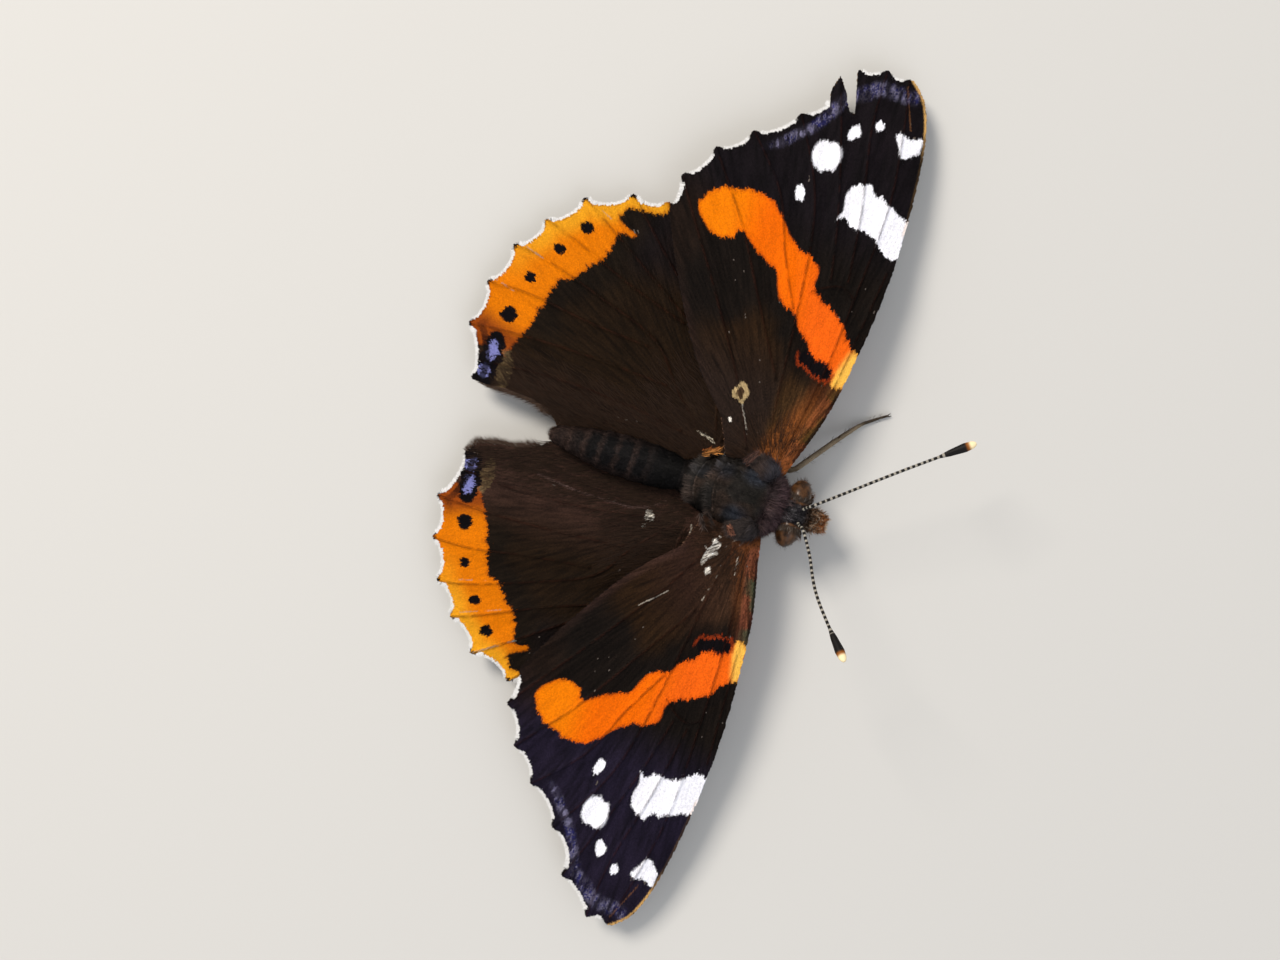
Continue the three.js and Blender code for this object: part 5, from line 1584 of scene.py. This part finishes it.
def add_eye(side, side_name, material, hair):
    """One domed eye facing outward, thinly haired, with a rim of hair where it meets the head."""
    rng = np.random.default_rng(220 + side)
    sink = 0.5
    middle = side * middle_line(EYE_AHEAD)
    reach = np.array((EYE_REACH["bulge"] + sink, EYE_REACH["ahead"], EYE_REACH["up"]))
    centre = np.array((middle + EYE_PLANE - sink, EYE_AHEAD, EYE_UP))
    # The cap's pole is turned from up to outward, so its reaches are given in that order.
    corners, faces, _ = dome((0, 0, 0), (reach[2], reach[1], reach[0]), 0.62 * math.pi, 28, 56)
    outward = np.array([[0, 0, 1], [0, 1, 0], [-1, 0, 0]])
    corners = corners @ outward.T + centre
    settle(build_mesh(f"eye_{side_name}_dome", side, corners, faces, material), [f"eye_{side_name}"])

    def ball(polar, turn):
        polar, turn = np.broadcast_arrays(polar, turn)
        return np.stack([np.cos(polar), np.sin(polar) * np.cos(turn), np.sin(polar) * np.sin(turn)], axis=-1)

    on_rim, on_dome = 2200, 500
    turn = 2 * math.pi * rng.random(on_rim + on_dome)
    polars = math.pi * np.linspace(0.42, 0.62, 24)
    places = centre + ball(polars[None], turn[:on_rim, None]) * reach
    buried = places[..., 0] < middle + head_reach(places[..., 1], places[..., 2]) - 0.12
    buried[:, -1] = True
    rim = polars[np.argmax(buried, axis=1)] - 0.2 * rng.random(on_rim)
    spread = np.arccos(1 - rng.random(on_dome))
    way = ball(np.concatenate([rim, spread]), turn)
    normals = unit(way / reach)
    is_rim = np.arange(on_rim + on_dome) < on_rim
    comb = np.where(is_rim[:, None], (1.0, 0.1, 0.0), (0.0, 0.3, 0.3))
    lie = comb + 0.8 * (rng.random(comb.shape) - 0.5)
    lie = laid_flat(lie, normals)
    low = smooth(0.1, -0.5, np.sin(turn))
    tone = lay(plain("#3f342c", len(turn)), low, "#8a6140")
    tone = lay(tone, smooth(0.85, 1.0, rng.random(len(turn))) * 0.5, "#8f8780")
    tone = np.where(is_rim[:, None], tone, linear("#4a3020"))
    length = (0.08 + 0.4 * rng.random(len(turn)) ** 2) * (1 + 0.8 * low) * np.where(is_rim, 1, 0.3)
    width, lift = np.where(is_rim, 0.035, 0.02), np.where(is_rim, 0.5, 1.5)
    corners, faces = hair_blades(centre + way * reach, lie, normals, length, width, lift)
    patches = patches_at(0.5 + 0.4 * way[:, 1:], *HAIR_PATCH)
    colours = hair_shades(tone, rng, 0.9, 1.5)
    name = f"eye_{side_name}_rim_hair"
    settle(build_mesh(name, side, corners, faces, hair, colours, patches))


class ADMIRAL_OT_mouthparts(bpy.types.Operator):
    """Adds the scaled palps and the coiled tongue between them"""

    bl_idname = "admiral.mouthparts"
    bl_label = "Mouthparts"

    def execute(self, context):
        add_palps()
        add_tongue()
        return {"FINISHED"}


def on_tube(path, radii, index, turn, upward):
    """Places on a tube, with the way along it and the outward normals there."""
    steps = np.arange(len(path))
    middle = np.stack([np.interp(index, steps, path[:, i]) for i in range(3)], axis=1)
    ahead = unit(np.gradient(path, axis=0))[np.round(index).astype(int)]
    flat = unit(np.cross(ahead, np.array(upward)))
    normals = flat * np.cos(turn)[:, None] + np.cross(flat, ahead) * np.sin(turn)[:, None]
    radius = np.interp(index, steps, radii)[:, None]
    return middle + normals * radius, ahead, normals


def add_palps():
    """The two palps: stout, upturned and shaggy with scales."""
    core = cuticle_material("Palp cuticle", 0.55, 0.06, 0.01)
    scales = hair_material("Palp scales", 0.6)
    for side, side_name in SIDES:
        path = spline(np.array(PALP_PATH) + (side * middle_line(11.25), 0, 0), 0.06)
        share = np.linspace(0, 1, len(path))
        radii = np.interp(share, (0, 0.35, 0.75, 0.95, 1), (0.24, 0.36, 0.3, 0.18, 0.05))
        corners, faces, steps = tube(path, radii, 16)
        tone = lay(plain("#3a281c", len(corners)), smooth(0.6, 1.0, share[steps]), "#6b3c1c")
        piece = build_mesh(f"palp_{side_name}_core", side, corners, faces, core, tone)
        settle(piece, [f"palp_{side_name}"])
        rng = np.random.default_rng(130 + side)
        count = 2600
        along = 0.2 + 0.78 * rng.random(count)
        turn = 2 * math.pi * rng.random(count)
        index = along * (len(path) - 1)
        roots, ahead, normals = on_tube(path, radii, index, turn, (0.0, 0.0, 1.0))
        tone = lay(plain("#644a37", count), smooth(0.4, 0.9, rng.random(count)), "#2f2520")
        tone = lay(tone, smooth(0.55, 1.0, along + 0.4 * (rng.random(count) - 0.5)) * 0.8, "#a8683a")
        tone = lay(tone, smooth(0.7, 0.95, rng.random(count)) * 0.8, "#b3a390")
        tone = lay(tone, smooth(-0.2, -0.8, np.sin(turn)), "#b9a58c")
        lie = unit(ahead + 1.2 * (rng.random((count, 3)) - 0.5))
        length = (0.1 + 0.4 * rng.random(count) ** 2) * (1.2 - 0.6 * along)
        lift = 1.1 * rng.random(count)
        corners, faces = hair_blades(roots, lie, normals, length, 0.045, lift, 0.02)
        unrolled = np.stack([along, turn / (2 * math.pi)], axis=1)
        patches = patches_at(BAKE_EDGE + BAKE_SPAN * unrolled, *HAIR_PATCH)
        colours = hair_shades(tone, rng, 0.8, 1.5)
        piece = build_mesh(f"palp_{side_name}_scales", side, corners, faces, scales, colours, patches)
        settle(piece)


def add_tongue():
    """The coiled tongue: a flat spiral of a little over three turns under the face."""
    turns = TONGUE["turns"]
    share = np.linspace(0, 1, int(turns * 40))
    angle = math.radians(TONGUE["start"]) - 2 * math.pi * turns * share
    radius = TONGUE["outer"] + (TONGUE["inner"] - TONGUE["outer"]) * share
    path = np.stack(
        [
            np.full(len(share), middle_line(TONGUE["ahead"])) + 0.05 * np.sin(9 * share),
            TONGUE["ahead"] + radius * np.cos(angle),
            TONGUE["up"] + radius * np.sin(angle),
        ],
        axis=1,
    )
    radii = 0.13 - 0.05 * share
    ribs = 1 + 0.05 * np.sin(np.arange(len(share)) * 2.1)
    corners, faces, steps = tube(path, radii * ribs, 14, 1.15)
    tone = lay(plain("#5d3619", len(corners)), share[steps], "#3a2012")
    material = cuticle_material("Tongue cuticle", 0.35, 0.05, 0.01)
    settle(build_mesh("tongue_coil", LEFT, corners, faces, material, tone), ["proboscis"])


class ADMIRAL_OT_feelers(bpy.types.Operator):
    """Adds the ringed antennae with their clubs"""

    bl_idname = "admiral.feelers"
    bl_label = "Feelers"

    def execute(self, context):
        material = cuticle_material("Scaled feeler cuticle", 0.55, 0.05, 0.01, 0.12)
        for side, side_name in SIDES:
            add_feeler(side, side_name, material)
        return {"FINISHED"}


def add_feeler(side, side_name, material):
    """One feeler: a dark shaft ringed with pale scales, and a club with a pale tip."""
    path = spline(FEELER_PATHS[side], 0.045)
    run = run_along(path)
    to_go = run[-1] - run
    within = (run / RING_PITCH) % 1
    shaft = SHAFT_RADIUS * (1 + 0.1 * np.sin(math.pi * within))
    club = CLUB_RADIUS * np.interp(to_go / CLUB_LENGTH, *zip(*CLUB_FORM))
    radii = np.where(to_go < CLUB_LENGTH, np.maximum(club, shaft), shaft)
    corners, faces, steps = tube(path, radii, 18, 0.9)
    pale = (within[steps] < 0.42) & (to_go[steps] > CLUB_LENGTH * 0.8)
    tone = np.where(pale[:, None], linear("#958f84"), linear("#0e0b0a"))
    tone = lay(tone, smooth(0.85, 0.6, to_go[steps]), "#8a4f18")
    tone = lay(tone, smooth(0.62, 0.35, to_go[steps]), "#f1dcae")
    piece = build_mesh(f"antenna_{side_name}_rings", side, corners, faces, material, tone)
    settle(piece, [f"antenna_{side_name}"])


class ADMIRAL_OT_legs(bpy.types.Operator):
    """Adds the six legs: four jointed walking legs and the two short brush-like forelegs"""

    bl_idname = "admiral.legs"
    bl_label = "Legs"

    def execute(self, context):
        tones = context.scene.admiral_tones
        shell = cuticle_material("Leg cuticle", 0.6, 0.05, 0.01, 0.12)
        scales = hair_material("Leg scales and spines", 0.6)
        for name, joints in {**LEG_PATHS, **FORELEG_PATHS}.items():
            side = LEFT if name.endswith("left") else RIGHT
            add_leg(name, side, np.array(joints), tones, shell, scales)
        return {"FINISHED"}


def add_leg(name, side, joints, tones, shell, scales):
    """One leg: straight stretches between its joints, each with its own thickness."""
    rng = np.random.default_rng(sum(map(ord, name)))
    walking = len(joints) > 5
    places = [joints[0]]
    for before, joint, after in zip(joints[:-2], joints[1:-1], joints[2:]):
        for neighbour in (before, after):
            way = neighbour - joint
            places.append(joint + way / np.linalg.norm(way) * min(0.28, np.linalg.norm(way) * 0.3))
    path = even_steps(np.array([*places, joints[-1]]), 0.07)
    run, marks = run_along(path), run_along(joints)
    marks = marks * run[-1] / marks[-1]
    radii = np.interp(run, marks, LEG_RADII if walking else FORELEG_RADII)
    for mark in marks[1:-1]:
        radii *= 1 - 0.14 * np.exp(-(((run - mark) / 0.1) ** 2))

    def on_foot(runs):
        return smooth(marks[-3] - 0.4, marks[-3] + 0.4, runs) * 0.85

    corners, faces, steps = tube(path, radii, 14)
    tone = plain(tones.leg, len(corners)) * (0.8 + 0.3 * np.sin(run[steps] * 1.3)[:, None] ** 2)
    if walking:
        tone = lay(tone, on_foot(run[steps]), FOOT_BROWN)
        corners, faces, tone = join([(corners, faces, tone), *claws(path)])
    corners[:, 2] = np.maximum(corners[:, 2], 0.0)
    settle(build_mesh(f"{name}_shell", side, corners, faces, shell, tone), [name])
    count = int(run[-1] * (130 if walking else 420))
    index = (0.1 + 0.89 * rng.random(count)) * (len(path) - 1)
    turn = 2 * math.pi * rng.random(count)
    roots, ahead, normals = on_tube(path, radii, index, turn, (0.0, 0.1, 1.0))
    spine = rng.random(count) < 0.03
    length = np.where(spine, 0.26, 0.16 if walking else 0.4) * (0.7 + 0.6 * rng.random(count))
    lift = np.where(spine, 0.9, 0.1 if walking else 0.25)
    hue = np.where(spine[:, None], linear("#2c211a"), tones.leg)
    if walking:
        hue = lay(hue, on_foot(np.interp(index, np.arange(len(path)), run)), FOOT_BROWN)
    corners, faces = hair_blades(roots, ahead, normals, length, 0.045, lift, 0.02)
    corners[:, 2] = np.maximum(corners[:, 2], 0.0)
    unrolled = np.stack([index / (len(path) - 1), turn / (2 * math.pi)], axis=1)
    patches = patches_at(BAKE_EDGE + BAKE_SPAN * unrolled, *HAIR_PATCH)
    colours = hair_shades(hue, rng, 0.7, 1.25)
    settle(build_mesh(f"{name}_scales", side, corners, faces, scales, colours, patches))


def claws(path):
    """The pair of curved claws at the end of a walking leg."""
    ahead = unit(path[-1:] - path[-4:-3])[0]
    sideways = unit(np.cross(ahead, [0, 0, 1])[None])[0]
    bend = np.linspace(0, 1, 7)[:, None]
    drop = np.array([0, 0, 0.1]) * bend**2
    parts = []
    for way in (-1, 1):
        claw = path[-1] + ahead * 0.28 * bend + way * sideways * (0.05 + 0.1 * bend) - drop
        corners, faces, _ = tube(claw, np.linspace(0.045, 0.008, 7), 8)
        parts.append((corners, faces, plain("#241812", len(corners))))
    return parts


class ADMIRAL_OT_stage(bpy.types.Operator):
    """Adds the pale floor, the soft studio lights and the camera"""

    bl_idname = "admiral.stage"
    bl_label = "Stage"

    def execute(self, context):
        add_floor()
        add_lights(context.scene)
        add_camera(context.scene)
        context.scene.view_settings.view_transform = "Standard"
        return {"FINISHED"}


def add_floor():
    """A wide floor of pale matt paper."""
    half = 3.0
    mesh = bpy.data.meshes.new("floor")
    corners = [(-half, -half, 0), (half, -half, 0), (half, half, 0), (-half, half, 0)]
    mesh.from_pydata(corners, [], [(0, 1, 2, 3)])
    floor = bpy.data.objects.new("floor", mesh)
    bpy.context.scene.collection.objects.link(floor)
    paper = {"Base Color": (*linear("#c4c2be"), 1), "Roughness": 0.9}
    material, _, _ = new_material("Matt studio paper", paper)
    mesh.materials.append(material)


def add_light(scene, name, place, size, power, tone):
    """A square soft light that faces the middle of the animal."""
    data = bpy.data.lights.new(name, "AREA")
    data.size = size
    data.energy = power
    data.color = linear(tone)
    light = bpy.data.objects.new(name, data)
    light.location = place
    light.rotation_euler = (-Vector(place)).to_track_quat("-Z", "Y").to_euler()
    scene.collection.objects.link(light)


def add_lights(scene):
    """Pale surroundings, a warm key light and a wide cool fill light."""
    world = bpy.data.worlds.new("soft studio")
    world.use_nodes = True
    background = world.node_tree.nodes["Background"]
    background.inputs["Color"].default_value = (*linear("#eef1f5"), 1)
    background.inputs["Strength"].default_value = 0.6
    scene.world = world
    add_light(scene, "key light", (0.2, 0.36, 0.42), 0.2, 3.6, "#fff8ee")
    add_light(scene, "fill light", (-0.35, -0.3, 0.4), 0.5, 1.2, "#eef3ff")


# The photograph looks straight down. Its middle lies here on the animal, its right edge
# runs along this direction, and its frame spans this width at the wings' height.
VIEW_MIDDLE = (-1.27, -2.18)
VIEW_TURN = 19.5
VIEW_WIDTH = 99.2
VIEW_HEIGHT = 102.0
WING_LEVEL = 3.0
SENSOR = 36.0


def add_camera(scene):
    """The camera that looks straight down, turned as the photograph is."""
    data = bpy.data.cameras.new("camera")
    data.sensor_width = SENSOR
    data.lens = SENSOR * VIEW_HEIGHT / VIEW_WIDTH
    data.clip_start = 0.001
    camera = bpy.data.objects.new("camera", data)
    turn = math.radians(VIEW_TURN)
    right = Vector((math.sin(turn), -math.cos(turn), 0))
    up = Vector((math.cos(turn), math.sin(turn), 0))
    place = to_frame(LEFT, [(*VIEW_MIDDLE, WING_LEVEL + VIEW_HEIGHT)])[0]
    axes = Matrix((right, up, Vector((0, 0, 1)))).transposed().to_4x4()
    camera.matrix_world = Matrix.Translation(Vector(place)) @ axes
    scene.collection.objects.link(camera)
    scene.camera = camera


class ADMIRAL_PT_panel(bpy.types.Panel):
    """Lists the sizes, the colours and the steps that build the butterfly"""

    bl_idname = "ADMIRAL_PT_panel"
    bl_label = "Red Admiral"
    bl_space_type = "VIEW_3D"
    bl_region_type = "UI"
    bl_category = "Butterfly"

    def draw(self, context):
        scene = context.scene
        for group in (scene.admiral_wings, scene.admiral_coat, scene.admiral_tones):
            for key in group.__annotations__:
                self.layout.prop(group, key)
        for operator in OPERATORS:
            self.layout.operator(operator.bl_idname)


OPERATORS = (
    ADMIRAL_OT_stage,
    ADMIRAL_OT_wings,
    ADMIRAL_OT_body,
    ADMIRAL_OT_eyes,
    ADMIRAL_OT_mouthparts,
    ADMIRAL_OT_feelers,
    ADMIRAL_OT_legs,
)
CLASSES = (AdmiralWingSizes, AdmiralCoatSizes, AdmiralTones, *OPERATORS, ADMIRAL_PT_panel)


def register():
    """Registers the classes and gives the scene its sizes and colours."""
    for cls in CLASSES:
        bpy.utils.register_class(cls)
    bpy.types.Scene.admiral_wings = PointerProperty(type=AdmiralWingSizes)
    bpy.types.Scene.admiral_coat = PointerProperty(type=AdmiralCoatSizes)
    bpy.types.Scene.admiral_tones = PointerProperty(type=AdmiralTones)


def unregister():
    """Takes back what register did."""
    del bpy.types.Scene.admiral_wings
    del bpy.types.Scene.admiral_coat
    del bpy.types.Scene.admiral_tones
    for cls in reversed(CLASSES):
        bpy.utils.unregister_class(cls)


def main():
    """Runs the steps in order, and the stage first."""
    register()
    bpy.ops.admiral.stage()
    bpy.ops.admiral.wings()
    bpy.ops.admiral.body()
    bpy.ops.admiral.eyes()
    bpy.ops.admiral.mouthparts()
    bpy.ops.admiral.feelers()
    bpy.ops.admiral.legs()


if __name__ == "__main__":
    main()
